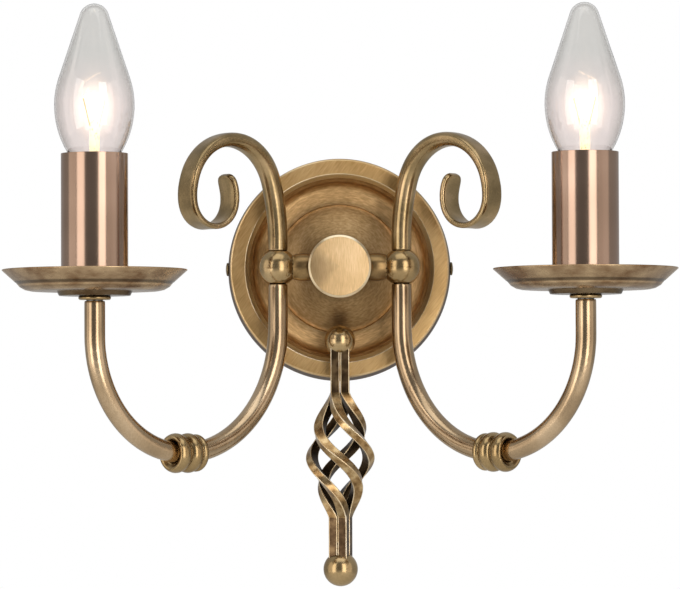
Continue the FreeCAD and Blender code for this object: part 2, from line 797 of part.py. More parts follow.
def drop_nut():
    """Nut that draws the stud tight from inside the canopy."""
    return on_drop_stud(hexagon(stud_nut_across, stud_nut_front - stud_nut_thick, stud_nut_front,
                                stud_radius + seat_gap))


def basket_line(height):
    """Radius and angle of the first bar's middle at a height."""
    share = min(max((basket_top - height) / (basket_top - basket_bottom), 0), 1)
    swell = math.sin(math.pi * share) ** (2 * basket_fullness)
    radius = bar_circle + (basket_radius - bar_width / math.sqrt(2) - bar_circle) * swell
    angle = 45.0 + basket_twist * (share - basket_ease * math.sin(2 * math.pi * share) / (2 * math.pi))
    return radius, angle


def bar_section(height, turn):
    """Square section of one bar, one corner outwards, with its corners taken off."""
    def middle(level):
        radius, angle = basket_line(level)
        angle = math.radians(angle + turn)
        return V(radius * math.cos(angle), radius * math.sin(angle), level)
    step = 0.05
    heading = (middle(height - step) - middle(height + step)).normalize()
    angle = math.radians(basket_line(height)[1] + turn)
    outwards = V(math.cos(angle), math.sin(angle), 0)
    outwards = (outwards - heading * outwards.dot(heading)).normalize()
    sideways = heading.cross(outwards)
    corner = bar_width / math.sqrt(2)
    cut = bar_chamfer / math.sqrt(2)
    ring = []
    for tip, beside in ((outwards, sideways), (sideways, outwards * -1),
                        (outwards * -1, sideways * -1), (sideways * -1, outwards)):
        ring.append(middle(height) + tip * (corner - cut) - beside * cut)
        ring.append(middle(height) + tip * (corner - cut) + beside * cut)
    return Part.makePolygon(ring + ring[:1])


def twist_bars():
    """Four square bars, a bundle above and below and a twisted basket between."""
    high = drop_ball_height - bar_socket
    low = finial_height + bar_socket
    station_count = 36
    heights = [high + (low - high) * k / station_count for k in range(station_count + 1)]
    bars = []
    for turn in (0, 90, 180, 270):
        bars.append(Part.makeLoft([bar_section(height, turn) for height in heights], True, False))
    return in_drop(Part.makeCompound(bars))


def bundle_socket(low, high, height):
    """Square space that the four bars fill at one end of the basket."""
    side = 2 * bar_width + bar_gap + 2 * seat_gap
    half = side / 2
    socket = Part.makeBox(side, side, high - low, V(-half, -half, low))
    angle = basket_line(height)[1] - 45.0
    return placed(socket, angle=angle)


def drop_top_ball():
    """Upper ball on its stud, with a socket that the bars are brazed into."""
    ball = Part.makeSphere(drop_ball_radius, V(0, 0, drop_ball_height))
    socket = bundle_socket(drop_ball_height - drop_ball_radius, drop_ball_height - bar_socket,
                           drop_ball_height)
    ball = in_drop(ball.cut(socket))
    flat = on_drop_stud(rod(drop_ball_radius, stud_seat - drop_ball_radius, stud_seat))
    return ball.cut([flat, on_drop_stud(rod(stud_radius + seat_gap, stud_seat, drop_depth))])


def drop_finial_ball():
    """Lower ball, with the same kind of socket in its top."""
    ball = Part.makeSphere(finial_radius, V(0, 0, finial_height))
    socket = bundle_socket(finial_height + bar_socket, finial_height + finial_radius, finial_height)
    return in_drop(ball.cut(socket))


# ---- Pan, collar and fixings under the candle -----------------------------------------------

def drip_pan(side):
    """Spun pan: sloping rim, groove, bowl and the boss that rests on the collar."""
    cone_foot = pan_radius - pan_cone_run
    bowl_edge = cone_foot - pan_groove
    top = pan_rim_height
    bowl_low = top - pan_bowl_drop
    bowl_high = top - pan_cone_drop - pan_groove
    shell = spun(-pan_wall,
                 (pan_radius, top),
                 (cone_foot, top - pan_cone_drop),
                 (bowl_edge, bowl_high),
                 ((bowl_edge - 0.28 * (bowl_edge - pan_bowl_radius),
                   bowl_high - 0.72 * (bowl_high - bowl_low)), (pan_bowl_radius, bowl_low)),
                 (pan_boss_radius, bowl_low),
                 (pan_boss_radius - pan_boss_taper, pan_floor),
                 (nipple_radius + seat_gap, pan_floor))
    return on_candle(shell, side)


def pan_collar(side):
    """Small turned ring between the arm's end and the pan."""
    low = arm_end
    high = pan_floor
    edge = pan_collar_radius - pan_collar_bulge
    bore = nipple_radius + seat_gap
    ring = turned((bore, low), (edge, low), ((pan_collar_radius, (low + high) / 2), (edge, high)),
                  (bore, high))
    return on_candle(ring, side)


def pan_nipple(side):
    """Threaded tube from inside the arm up into the lampholder's foot."""
    return on_candle(rod(nipple_radius, arm_end - nipple_in_arm, foot_top, nipple_bore), side)


def pan_nuts():
    """The two nuts that clamp the pans down, one per arm."""
    nut = hexagon(pan_nut_across, pan_inside, nut_top, nipple_radius + seat_gap)
    return Part.makeCompound([on_candle(nut, side) for side in sides])


def holder_foot(side):
    """Stirrup under the lampholder: a threaded plate with two strips up to the holder."""
    plate = rod(foot_radius, nut_top, foot_top, nipple_radius + seat_gap)
    strip = Part.makeBox(foot_strip_thick, foot_strip_width, holder_bottom - nut_top,
                         V(foot_radius - foot_strip_thick, -foot_strip_width / 2, nut_top))
    plate = plate.fuse([strip, placed(strip, angle=180)])
    return on_candle(plate.removeSplitter(), side)


# ---- Lampholder and sleeve ------------------------------------------------------------------

def shell_outer():
    return cap_radius + running_gap + shell_wall


def holder_body(side):
    """Moulded holder: a thick cup with a recess for the screw shell and a contact slot."""
    bore = shell_outer() + shell_gap
    body = turned((0, holder_bottom), (holder_radius - holder_edge, holder_bottom),
                  (holder_radius, holder_bottom + holder_edge), (holder_radius, holder_top - holder_edge),
                  (holder_radius - holder_edge, holder_top), (bore, holder_top),
                  (bore, holder_bottom + holder_floor), (0, holder_bottom + holder_floor))
    body = body.cut(rod(lead_radius + wire_slack, holder_bottom, holder_bottom + holder_floor))
    for angle in range(0, 360, 60):
        flute = Part.makeCylinder(holder_flute_radius, holder_length * 0.6,
                                  V(holder_radius + holder_flute_radius - holder_flute_depth, 0,
                                    holder_bottom + holder_length * 0.15))
        body = body.cut(placed(flute, angle=angle))
    return on_candle(body, side)


def holder_shell(side):
    """Brass screw shell in the holder, with its lower edge turned in."""
    outer = shell_outer()
    inner = outer - shell_wall
    low = holder_bottom + holder_floor
    high = holder_top - shell_recess
    shell = turned((outer - shell_lip, low), (outer, low), (outer, high), (inner, high),
                   (inner, low + shell_wall), (outer - shell_lip, low + shell_wall))
    return on_candle(shell, side)


def holder_contact(side):
    """Sprung centre contact: a strip bridged up under the lamp's solder button."""
    low = holder_bottom + holder_floor
    high = button_bottom - running_gap
    foot = shell_outer() - shell_lip - 2 * shell_gap - contact_thick
    top = contact_width / 2
    strip = Part.Face(Part.makePolygon([
        V(-foot, 0, low), V(-foot, 0, low + contact_thick), V(-foot + contact_thick, 0, low + contact_thick),
        V(-top, 0, high), V(top, 0, high), V(foot - contact_thick, 0, low + contact_thick),
        V(foot, 0, low + contact_thick), V(foot, 0, low), V(foot - 2 * contact_thick, 0, low),
        V(top - contact_thick / 2, 0, high - contact_thick),
        V(-top + contact_thick / 2, 0, high - contact_thick),
        V(-foot + 2 * contact_thick, 0, low), V(-foot, 0, low)]))
    strip = strip.extrude(V(0, contact_width, 0))
    return on_candle(placed(strip, position=V(0, -contact_width / 2, 0)), side)


def candle_sleeve(side):
    """Plain tube that drops over the lampholder and stands on the pan."""
    inner = sleeve_radius - sleeve_wall
    low = pan_inside + running_gap
    sleeve = turned((inner, low), (sleeve_radius, low), (sleeve_radius, sleeve_top - sleeve_edge),
                    (sleeve_radius - sleeve_edge, sleeve_top), (inner, sleeve_top))
    return on_candle(sleeve, side)


# ---- Lamp -----------------------------------------------------------------------------------

def glass_line(inset):
    """Line of the glass from its neck to its tip, moved inwards by the inset."""
    wide = sleeve_top + glass_widest
    tip = sleeve_top + glass_tip - inset
    radius = glass_radius - inset
    neck = glass_neck - inset

    def bend_point(bend, lean, direction):
        lean = math.radians(lean)
        return radius - bend * (1 - math.cos(lean)), wide + direction * bend * math.sin(lean)

    belly = glass_belly_bend - inset
    flank = glass_flank_bend - inset
    belly_end = bend_point(belly, glass_belly_lean, -1)
    flank_end = bend_point(flank, glass_flank_lean, 1)
    lean = math.radians(glass_flank_lean)
    reach = flank_end[0] * math.cos(lean) + flank_end[1] * math.sin(lean)
    cap = (reach - tip * math.sin(lean)) / (1 - math.sin(lean))
    cap_edge = (cap * math.cos(lean), tip - cap + cap * math.sin(lean))
    high = math.radians((glass_flank_lean + 90) / 2)
    cap_middle = (cap * math.cos(high), tip - cap + cap * math.sin(high))
    neck_height = belly_end[1] - (belly_end[0] - neck) / math.tan(math.radians(glass_belly_lean))
    return [(neck, cap_top - neck_seat), (neck, neck_height), belly_end,
            (bend_point(belly, glass_belly_lean / 2, -1), (radius, wide)),
            (bend_point(flank, glass_flank_lean / 2, 1), flank_end),
            cap_edge,
            (cap_middle, (0, tip))]


def bulb_glass(side):
    """Candle-shaped glass, blown thin, open at its neck inside the cap."""
    outer = glass_line(0.0)
    inner = glass_line(glass_wall)
    edges = outline(outer[0], *outer[1:]) + outline(inner[0], *inner[1:])
    edges += outline(outer[0], inner[0])
    edges += outline(outer[-1][1], inner[-1][1])
    section = Part.Face(Part.Wire(Part.sortEdges(edges)[0]))
    return on_candle(section.revolve(V(0, 0, 0), V(0, 0, 1), 360), side)


def bulb_cap(side):
    """Screw cap, a thin shell whose thread is drawn as plain rounded turns."""
    outer = cap_radius
    inner = glass_neck + seat_gap
    shoulder = cap_bottom + cap_foot_height
    foot = outer - cap_foot_step
    cap = turned((inner, cap_top), (outer, cap_top - cap_wall), (outer, shoulder), (foot, cap_bottom),
                 (foot - cap_wall, cap_bottom), (inner, shoulder))
    return on_candle(cap, side)


def bulb_insulator(side):
    """Glass bead that closes the cap's foot round the contact."""
    wide = cap_radius - cap_foot_step
    bead = turned((0, cap_bottom), (wide, cap_bottom),
                  ((wide * 0.86, cap_bottom - insulator_height * 0.55),
                   (insulator_foot, cap_bottom - insulator_height)),
                  (0, cap_bottom - insulator_height))
    return on_candle(bead, side)


def bulb_contact(side):
    """Solder button at the foot of the lamp."""
    top = cap_bottom - insulator_height
    button = turned((0, top), (button_radius, top), crown(button_radius, top, -button_height))
    return on_candle(button, side)


def bulb_stem(side):
    """Glass stem: a flare sealed to the neck and the rod that holds the wires."""
    low = cap_top - neck_seat
    top = sleeve_top + lamp_stem_top
    high = low + lamp_flare_height
    waist = lamp_stem_radius
    spread = waist + 0.3 * (lamp_flare_radius - waist)
    stem = turned((0, low), (lamp_flare_radius, low), ((spread, (low + high) / 2), (waist, high)),
                  (waist, top - waist / 2), crown(waist, top - waist / 2, waist / 2))
    return on_candle(stem, side)


def bulb_wires(side):
    """Two support wires that fan out of the stem and hold the filament's ends."""
    foot = sleeve_top + lamp_stem_top - support_root
    top = sleeve_top + filament_height
    wires = []
    for direction in (1, -1):
        low = V(direction * (lamp_stem_radius + support_radius + seat_gap), 0, foot)
        high = V(direction * (filament_span / 2 - support_radius), 0, top - filament_radius)
        length = (high - low).Length
        wires.append(Part.makeCylinder(support_radius, length, low, (high - low).normalize()))
    return on_candle(Part.makeCompound(wires), side)


def bulb_filament(side):
    """Filament, drawn as one thin arch between the wires."""
    top = sleeve_top + filament_height
    half = filament_span / 2
    arch = Part.Wire(Part.Arc(V(-half, 0, top), V(0, 0, top + filament_rise), V(half, 0, top)).toShape())
    return on_candle(along(arch, filament_radius), side)


# ---- Wiring ---------------------------------------------------------------------------------

def lead(side):
    """Flexible lead from the terminal block through stem, hub, ball and arm to the lampholder."""
    direction = 1 if side == "right" else -1
    height = lead_offset * direction
    entry = -block_entry_depth
    pole = direction * block_pitch / 2
    angle = math.radians(sides[side])
    outboard = V(math.cos(angle), math.sin(angle), 0)
    ball = ball_centre(side)
    end = ball + outboard * arm_reach
    points = [V(block_offset - block_width * 0.35, entry, pole),
              V(block_offset - block_width / 2 - lead_loop, entry, pole),
              V(0, entry - lead_rise, height),
              V(0, -arm_depth, height),
              V(ball.x, -arm_depth, height),
              ball + V(0, 0, -arm_drop),
              end + V(0, 0, -arm_drop),
              end + V(0, 0, holder_bottom + holder_floor - lead_end_gap)]
    return along(route(points, lead_turns + (arm_inner_bend, arm_outer_bend)), lead_radius)


# ---- Build ----------------------------------------------------------------------------------

save("wall_bracket", wall_bracket())
save("earth_screw", earth_screw())
save("terminal_block", terminal_block())
save("terminal_screws", terminal_screws())
save("canopy", canopy())
save("canopy_side_screws", canopy_side_screws())
save("hub", hub())
save("hub_knob", hub_knob())
save("hub_stem", hub_stem())
save("hub_washer", hub_washer())
save("hub_lock_nut", hub_lock_nut())
save("drop_rod", drop_rod())
save("drop_nut", drop_nut())
save("drop_top_ball", drop_top_ball())
save("twist_bars", twist_bars())
save("drop_finial_ball", drop_finial_ball())
save("pan_nuts", pan_nuts())

pieces_per_side = {
    "spigot": spigot,
    "arm_ball": arm_ball,
    "arm_tube": arm_tube,
    "knot_collar": knot_collar,
    "scroll": scroll,
    "drip_pan": drip_pan,
    "pan_collar": pan_collar,
    "pan_nipple": pan_nipple,
    "holder_foot": holder_foot,
    "holder_body": holder_body,
    "holder_shell": holder_shell,
    "holder_contact": holder_contact,
    "candle_sleeve": candle_sleeve,
    "bulb_glass": bulb_glass,
    "bulb_cap": bulb_cap,
    "bulb_insulator": bulb_insulator,
    "bulb_contact": bulb_contact,
    "bulb_stem": bulb_stem,
    "bulb_wires": bulb_wires,
    "bulb_filament": bulb_filament,
    "lead": lead,
}
for side in sides:
    for piece, make in pieces_per_side.items():
        save(side + "_" + piece, make(side))
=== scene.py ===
import json
import math
import bpy
from mathutils import Matrix, Vector


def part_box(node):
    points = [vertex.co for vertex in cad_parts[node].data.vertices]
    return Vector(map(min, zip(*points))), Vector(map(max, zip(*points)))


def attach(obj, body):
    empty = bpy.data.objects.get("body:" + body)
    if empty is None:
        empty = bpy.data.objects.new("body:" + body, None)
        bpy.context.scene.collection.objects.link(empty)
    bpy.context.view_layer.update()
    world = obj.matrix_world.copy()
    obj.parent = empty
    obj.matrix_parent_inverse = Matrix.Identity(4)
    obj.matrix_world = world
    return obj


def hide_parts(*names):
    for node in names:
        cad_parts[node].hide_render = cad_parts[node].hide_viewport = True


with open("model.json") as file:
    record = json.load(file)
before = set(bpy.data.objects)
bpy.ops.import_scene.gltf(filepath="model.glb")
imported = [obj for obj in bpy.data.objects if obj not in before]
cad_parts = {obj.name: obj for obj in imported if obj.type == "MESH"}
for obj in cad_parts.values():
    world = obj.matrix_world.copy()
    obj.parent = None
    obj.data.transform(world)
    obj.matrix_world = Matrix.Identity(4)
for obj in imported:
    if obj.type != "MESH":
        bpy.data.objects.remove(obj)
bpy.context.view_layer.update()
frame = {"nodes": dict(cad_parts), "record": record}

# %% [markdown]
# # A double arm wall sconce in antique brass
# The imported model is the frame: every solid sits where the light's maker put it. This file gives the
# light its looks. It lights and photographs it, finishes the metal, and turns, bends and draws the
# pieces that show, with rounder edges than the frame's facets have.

MM = 0.001
SIDES = ("right", "left")


def middle(node):
    """Centre of a node's box, in metres."""
    low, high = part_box(node)
    return (low + high) / 2


candle_place = {side: middle(side + "_candle_sleeve") for side in SIDES}
sleeve_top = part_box("right_candle_sleeve")[1].z / MM
arm_run = (candle_place["right"] - middle("right_arm_ball")) / MM
print("arms", round(math.hypot(arm_run.x, arm_run.y), 2), "mm long,",
      round(math.degrees(math.atan2(arm_run.y, arm_run.x)), 2), "degrees")

# %% [markdown]
# ## Camera
# A long lens flattens perspective, as in a catalogue picture: both candles look alike and the
# canopy stays round. The camera looks slightly up, so a little of each pan's underside shows.
# A camera can be turned by angles or aimed at a point. Aiming keeps the light in the frame.

# %% The camera
CAMERA_AZIMUTH = -0.2          # degrees, 0 is straight out of the wall
CAMERA_ELEVATION = -1.8
CAMERA_ROLL = math.radians(-0.21)
CAMERA_DISTANCE = 1.8
CAMERA_TARGET = Vector((0.0, -70.0, -13.5)) * MM
FOCAL_PIXELS = 4058.0
PICTURE_WIDTH = 680
SENSOR_WIDTH = 36.0


def towards(azimuth, elevation):
    """Direction from the light into the room, from an azimuth and an elevation in degrees."""
    a = math.radians(azimuth)
    e = math.radians(elevation)
    return Vector((math.sin(a) * math.cos(e), -math.cos(a) * math.cos(e), math.sin(e)))


direction = towards(CAMERA_AZIMUTH, CAMERA_ELEVATION)
camera_data = bpy.data.cameras.new("camera")
camera_data.sensor_width = SENSOR_WIDTH
camera_data.lens = FOCAL_PIXELS * SENSOR_WIDTH / PICTURE_WIDTH
camera_data.clip_end = 20.0
camera = bpy.data.objects.new("camera", camera_data)
bpy.context.scene.collection.objects.link(camera)
turn = (-direction).to_track_quat("-Z", "Y").to_matrix() @ Matrix.Rotation(CAMERA_ROLL, 3, "Z")
camera.matrix_world = Matrix.Translation(CAMERA_TARGET + direction * CAMERA_DISTANCE) @ turn.to_4x4()
bpy.context.scene.camera = camera
bpy.context.scene.view_settings.view_transform = "Standard"
print("camera", round(camera_data.lens), "mm lens at", CAMERA_DISTANCE, "m")

# %% [markdown]
# ## One helper for nodes and one for colours
# A finish is a small net of nodes. One function adds any node, sets its inputs and links them, so
# each finish below reads as a list. Colours are written as on a paint chart and turned to linear
# light, because that is what the renderer adds up.

# %% Helpers for finishes
SUM = {"operation": "ADD"}
DIFFERENCE = {"operation": "SUBTRACT"}
PRODUCT = {"operation": "MULTIPLY"}
LARGER = {"operation": "MAXIMUM"}
EASED = {"interpolation_type": "SMOOTHSTEP"}
COLOURS = {"data_type": "RGBA"}
TINT = {"data_type": "RGBA", "blend_type": "MULTIPLY"}


def linear(code):
    """Linear colour of an sRGB hex code."""
    parts = [int(code[k:k + 2], 16) / 255 for k in (1, 3, 5)]
    return tuple(p / 12.92 if p <= 0.04045 else ((p + 0.055) / 1.055) ** 2.4 for p in parts) + (1.0,)


def add(material, kind, settings=None, *values, **inputs):
    """Add a node. Settings are its properties. Values go to its sockets in order, and inputs to the
    sockets that they name, or number after an underscore. Each is a value or another node's output."""
    node = material.node_tree.nodes.new("ShaderNode" + kind)
    for key, value in (settings or {}).items():
        setattr(node, key, value)
    sockets = list(zip(node.inputs, values))
    for key, value in inputs.items():
        sockets.append((node.inputs[int(key[1:]) if key[0] == "_" else key.replace("_", " ")], value))
    for socket, value in sockets:
        if isinstance(value, bpy.types.NodeSocket):
            material.node_tree.links.new(value, socket)
        else:
            socket.default_value = value
    return node


def new_finish(name):
    """An empty material with its output node."""
    material = bpy.data.materials.new(name)
    material.use_nodes = True
    material.node_tree.nodes.clear()
    return material, add(material, "OutputMaterial")


def stops_set(ramp, stops):
    """Give a colour ramp its stops, each a position and a linear colour, and return its colour."""
    elements = ramp.color_ramp.elements
    elements.remove(elements[1])
    elements[0].position = stops[0][0]
    for place, colour in stops[1:]:
        elements.new(place)
    for element, (place, colour) in zip(elements, stops):
        element.color = colour
    return ramp.outputs["Color"]


# %% [markdown]
# ## Studio
# The picture's background is plain white. The world shows white to the camera, through glass, and
# in reflections of what lies behind the light. Elsewhere it is a dim room, because metal looks like
# what stands round it. Four upright softboxes give the pale stripes on every tube and sleeve, two to
# a side so that a stripe has a soft edge, and a fifth lights the pans from above.


# %% World
def make_world():
    """White where the camera or glass looks, a dim room for the metal's reflections."""
    world = bpy.data.worlds.new("studio")
    world.use_nodes = True
    bpy.context.scene.world = world
    world.node_tree.nodes.clear()
    output = add(world, "OutputWorld")
    path = add(world, "LightPath").outputs
    axes = add(world, "SeparateXYZ", None, add(world, "TexCoord").outputs["Generated"]).outputs
    behind = add(world, "MapRange", EASED, axes["Y"], 0.93, 0.99, 0.0, 0.55).outputs[0]
    front = add(world, "MapRange", EASED, axes["Y"], -0.85, 0.1, 0.19, 0.38).outputs[0]
    above = add(world, "MapRange", None, axes["Z"], -1.0, 1.0, 0.9, 1.4).outputs[0]
    room = add(world, "Math", PRODUCT, front, above).outputs[0]
    seen = add(world, "Math", LARGER, path["Is Camera Ray"], path["Is Transmission Ray"]).outputs[0]
    behind = add(world, "Math", PRODUCT, behind, path["Is Glossy Ray"]).outputs[0]
    white = add(world, "Math", LARGER, seen, behind).outputs[0]
    level = add(world, "MapRange", None, white, 0.0, 1.0, room, 1.0).outputs[0]
    light = add(world, "Background", None, (1.0, 1.0, 1.0, 1.0), level)
    world.node_tree.links.new(light.outputs[0], output.inputs[0])


make_world()

# %% Softboxes
SOFTBOX_DISTANCE = 1.5
SOFTBOX_AIM = Vector((0.0, -0.06, 0.0))
# azimuth, elevation, width and height in metres, brightness and colour
SOFTBOXES = {
    "softbox_left": (-47, 4, 0.70, 1.7, 2.4, "#FFF9F4"),
    "softbox_left_far": (-78, 4, 0.80, 1.7, 0.75, "#FFF4EA"),
    "softbox_right": (25, 4, 0.66, 1.7, 3.2, "#FFFAF6"),
    "softbox_right_far": (62, 4, 1.10, 1.7, 0.62, "#FFF2E8"),
    "softbox_top": (0, 68, 1.6, 1.0, 1.2, "#FFFFFF")}

for name, (azimuth, elevation, width, height, brightness, colour) in SOFTBOXES.items():
    data = bpy.data.lights.new(name, "AREA")
    data.shape = "RECTANGLE"
    data.size = width
    data.size_y = height
    data.color = linear(colour)[:3]
    data.energy = brightness * math.pi * width * height
    lamp = bpy.data.objects.new(name, data)
    bpy.context.scene.collection.objects.link(lamp)
    way = towards(azimuth, elevation)
    facing = way.to_track_quat("Z", "Y").to_matrix().to_4x4()
    lamp.matrix_world = Matrix.Translation(SOFTBOX_AIM + way * SOFTBOX_DISTANCE) @ facing
print(len(SOFTBOXES), "softboxes")

# %% Floor
FLOOR_DEPTH = 0.6              # far enough down to lie under the picture
FLOOR_SIZE = 8.0
FLOOR_GLOW = 0.7               # share of white that the camera adds to its paint


def make_floor():
    """Plain pale floor, painted, and brighter to the camera than to the light on it."""
    bpy.ops.object.select_all(action="DESELECT")
    bpy.ops.mesh.primitive_plane_add(size=FLOOR_SIZE, location=(0.0, 0.0, -FLOOR_DEPTH))
    floor = bpy.context.object
    floor.name = "floor"
    material, output = new_finish("pale_studio_floor")
    path = add(material, "LightPath").outputs
    paint = add(material, "BsdfDiffuse", Color=linear("#F4F4F2"))
    glow = add(material, "Emission", None, (1.0, 1.0, 1.0, 1.0), 1.0)
    seen = add(material, "Math", LARGER, path["Is Camera Ray"], path["Is Transmission Ray"]).outputs[0]
    share = add(material, "Math", PRODUCT, seen, FLOOR_GLOW).outputs[0]
    mixed = add(material, "MixShader", None, share, paint.outputs[0], glow.outputs[0])
    material.node_tree.links.new(mixed.outputs[0], output.inputs[0])
    floor.data.materials.append(material)


make_floor()

# %% [markdown]
# ## Where the marks on the metal run
# Brushing, turning and drawing leave fine scratches along the tool's way. Noise that is drawn out
# along that way looks like them. So each finish picks a place to read its noise from: the plain place
# on the object, one that runs round the canopy's axis, or one that leans. Real scratches lie about a
# tenth of a millimetre apart, too fine to show, so they are drawn several times as coarse.


# %% Places for marks
def object_place(material):
    """A point's place on the object, which rides with its piece."""
    return add(material, "TexCoord").outputs["Object"]


def height_on(material):
    """A point's height on the object, in metres."""
    return add(material, "SeparateXYZ", None, object_place(material)).outputs["Z"]


def radius_and_angle(material):
    """Distance from the canopy's axis, which points out of the wall, and the way round it."""
    axes = add(material, "SeparateXYZ", None, object_place(material)).outputs
    squares = [add(material, "Math", PRODUCT, axes[k], axes[k]).outputs[0] for k in ("X", "Z")]
    total = add(material, "Math", SUM, *squares).outputs[0]
    radius = add(material, "Math", {"operation": "SQRT"}, total).outputs[0]
    angle = add(material, "Math", {"operation": "ARCTAN2"}, axes["Z"], axes["X"]).outputs[0]
    return radius, angle


def turned_place(material, reach):
    """Place for marks that run round the canopy's axis: radius, and the way round drawn out."""
    radius, angle = radius_and_angle(material)
    around = add(material, "Math", PRODUCT, angle, reach).outputs[0]
    return add(material, "CombineXYZ", None, radius, around, 0.0).outputs[0]


def leaning_place(material, lean):
    """Place for straight marks that lean by an angle in the plane of the wall."""
    return add(material, "Mapping", Vector=object_place(material), Rotation=(0, lean, 0)).outputs[0]


def streaks(material, place, spacing_mm, stretch=(1.0, 1.0, 1.0)):
    """Noise drawn out along the axes whose stretch is small: brush marks at a spacing in mm."""
    mapping = add(material, "Mapping", Vector=place, Scale=stretch).outputs[0]
    return add(material, "TexNoise", Vector=mapping, Scale=1.0 / (spacing_mm * MM), Detail=3.0,
               Roughness=0.6).outputs["Fac"]


# %% [markdown]
# ## Antique brass
# Antique brass is brass darkened with a patina, rubbed back and lacquered. The patina stays brown in
# the hollows and the rubbed places are golden, so the colour wanders over a few centimetres. The
# lacquer gives a satin gloss. Painting such a colour by hand takes long, so noise makes it here, and
# light that can't get into a corner finds the hollows. That darkening is patina, and also painted
# shade where one part stands close to another.

# %% Brass
SCRATCH_DEPTH = 0.05 * MM
TONE_STOPS = (0.36, 0.5, 0.64)     # most of the noise lies between the outer two


def dimmed(material, colour, shade):
    """Multiply a colour by a level of grey."""
    level = add(material, "CombineXYZ", None, shade, shade, shade).outputs[0]
    return add(material, "Mix", TINT, _0=1.0, _6=colour, _7=level).outputs[2]


def corner_patina_and_shade(material, colour, reach_mm, depth):
    """Darken the colour where another surface stands within reach: patina where polish never gets, and
    painted shade between parts.
    """
    closed = add(material, "AmbientOcclusion", {"samples": 6}, Distance=reach_mm * MM).outputs["AO"]
    shade = add(material, "MapRange", None, closed, 0.25, 0.85, 1.0 - depth, 1.0).outputs[0]
    return dimmed(material, colour, shade)


def brass_finish(name, tones, roughness, place=object_place, marks_mm=0.5, stretch=(1, 1, 1),
                 tone_mm=26.0, share=0.35, bump=0.12, anisotropy=0.0, tangent=None, soil_and_painted_light=None,
                 patina=(1.6, 0.75), uneven=0.01):
    """Metal with a tone that wanders over tone_mm, and marks in tone, gloss and relief."""
    material, output = new_finish(name)
    tone = add(material, "TexNoise", Vector=object_place(material), Scale=1.0 / (tone_mm * MM),
               Detail=2.0, Roughness=0.5).outputs["Fac"]
    marks = streaks(material, place(material), marks_mm, stretch)
    tone_part = add(material, "Math", PRODUCT, tone, 1.0 - share).outputs[0]
    marks_part = add(material, "Math", PRODUCT, marks, share).outputs[0]
    mixed = add(material, "Math", SUM, tone_part, marks_part).outputs[0]
    stops = [(stop, linear(code)) for stop, code in zip(TONE_STOPS, tones)]
    colour = stops_set(add(material, "ValToRGB", None, mixed), stops)
    # light and shade painted by place, and darker bar necks
    if soil_and_painted_light:
        colour = soil_and_painted_light(material, colour)
    # patina in the hollows, and painted shade between parts
    if patina:
        colour = corner_patina_and_shade(material, colour, *patina)
    gloss = add(material, "MapRange", None, marks, 0.3, 0.7, roughness - uneven, roughness + uneven)
    relief = add(material, "Bump", Height=marks, Strength=bump, Distance=SCRATCH_DEPTH)
    metal = add(material, "BsdfPrincipled", Base_Color=colour, Metallic=1.0, Roughness=gloss.outputs[0],
                Normal=relief.outputs[0], Anisotropic=anisotropy)
    if tangent:
        material.node_tree.links.new(tangent(material), metal.inputs["Tangent"])
    material.node_tree.links.new(metal.outputs[0], output.inputs[0])
    return material


def across_brush(lean):
    """Direction across straight brush marks in the plane of the wall, along which gloss spreads."""
    def tangent(material):
        return add(material, "CombineXYZ", None, math.cos(lean), 0.0, math.sin(lean)).outputs[0]
    return tangent


# %% [markdown]
# ## Painted light and tones that follow a piece's form
# Some light and shade are painted into the colour along a piece's form: painted shade on the canopy's
# dome round the knob, a painted highlight along its step and painted light on its recess floor, and
# painted shade in the pan's groove and on its boss, with painted highlights on its edge and the step
# below. The bars are darker where they lie together above and below the basket.
# Each is a colour ramp along one distance: from an axis, or down from a top.


# %% Tones by place
def toned(material, colour, distance, span, levels):
    """Make a colour darker or lighter by levels at distances in mm, over a span in mm."""
    share = add(material, "Math", {"operation": "DIVIDE"}, distance, span * MM).outputs[0]
    stops = [(reach / span, (level, level, level, 1.0)) for reach, level in levels]
    shade = stops_set(add(material, "ValToRGB", None, share), stops)
    return add(material, "Mix", TINT, _0=1.0, _6=colour, _7=shade).outputs[2]


def canopy_shade_and_highlight(material, colour):
    """Painted shade on the dome round the knob, a painted highlight along the step, painted light on the
    recess floor, and darker towards the rim.
    """
    radius = radius_and_angle(material)[0]
    return toned(material, colour, radius, 55.0,
                 ((14.0, 0.50), (17.0, 0.72), (22.0, 0.80), (27.5, 0.90), (28.8, 1.7), (29.9, 0.80),
                  (33.0, 1.30), (38.0, 1.25), (41.0, 1.0), (50.5, 0.6)))


def neck_tones(material, colour):
    """Darker above and below the basket, where the bars lie close together."""
    depth = add(material, "Math", PRODUCT, -1.0, height_on(material)).outputs[0]
    return toned(material, colour, depth, 140.0, ((55.0, 0.45), (63.0, 1.0), (105.0, 1.0), (114.0, 0.45)))


def pan_shade_and_highlights(material, colour):
    """Painted shade in the pan's groove and on its boss, and painted highlights on its edge and on the
    step below the groove.
    """
    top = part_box("right_drip_pan")[1].z
    depth = add(material, "Math", DIFFERENCE, top, height_on(material)).outputs[0]
    return toned(material, colour, depth, 14.0,
                 ((0.1, 1.05), (0.7, 0.95), (2.5, 0.85), (5.0, 0.78), (5.5, 0.30), (6.3, 0.36),
                  (6.9, 1.15), (7.7, 0.62), (8.7, 0.86), (9.3, 0.80), (9.6, 0.32), (12.0, 0.25)))


KNOB_SHADE_WAY = math.radians(185)  # the way round the knob's face where its painted shade is darkest


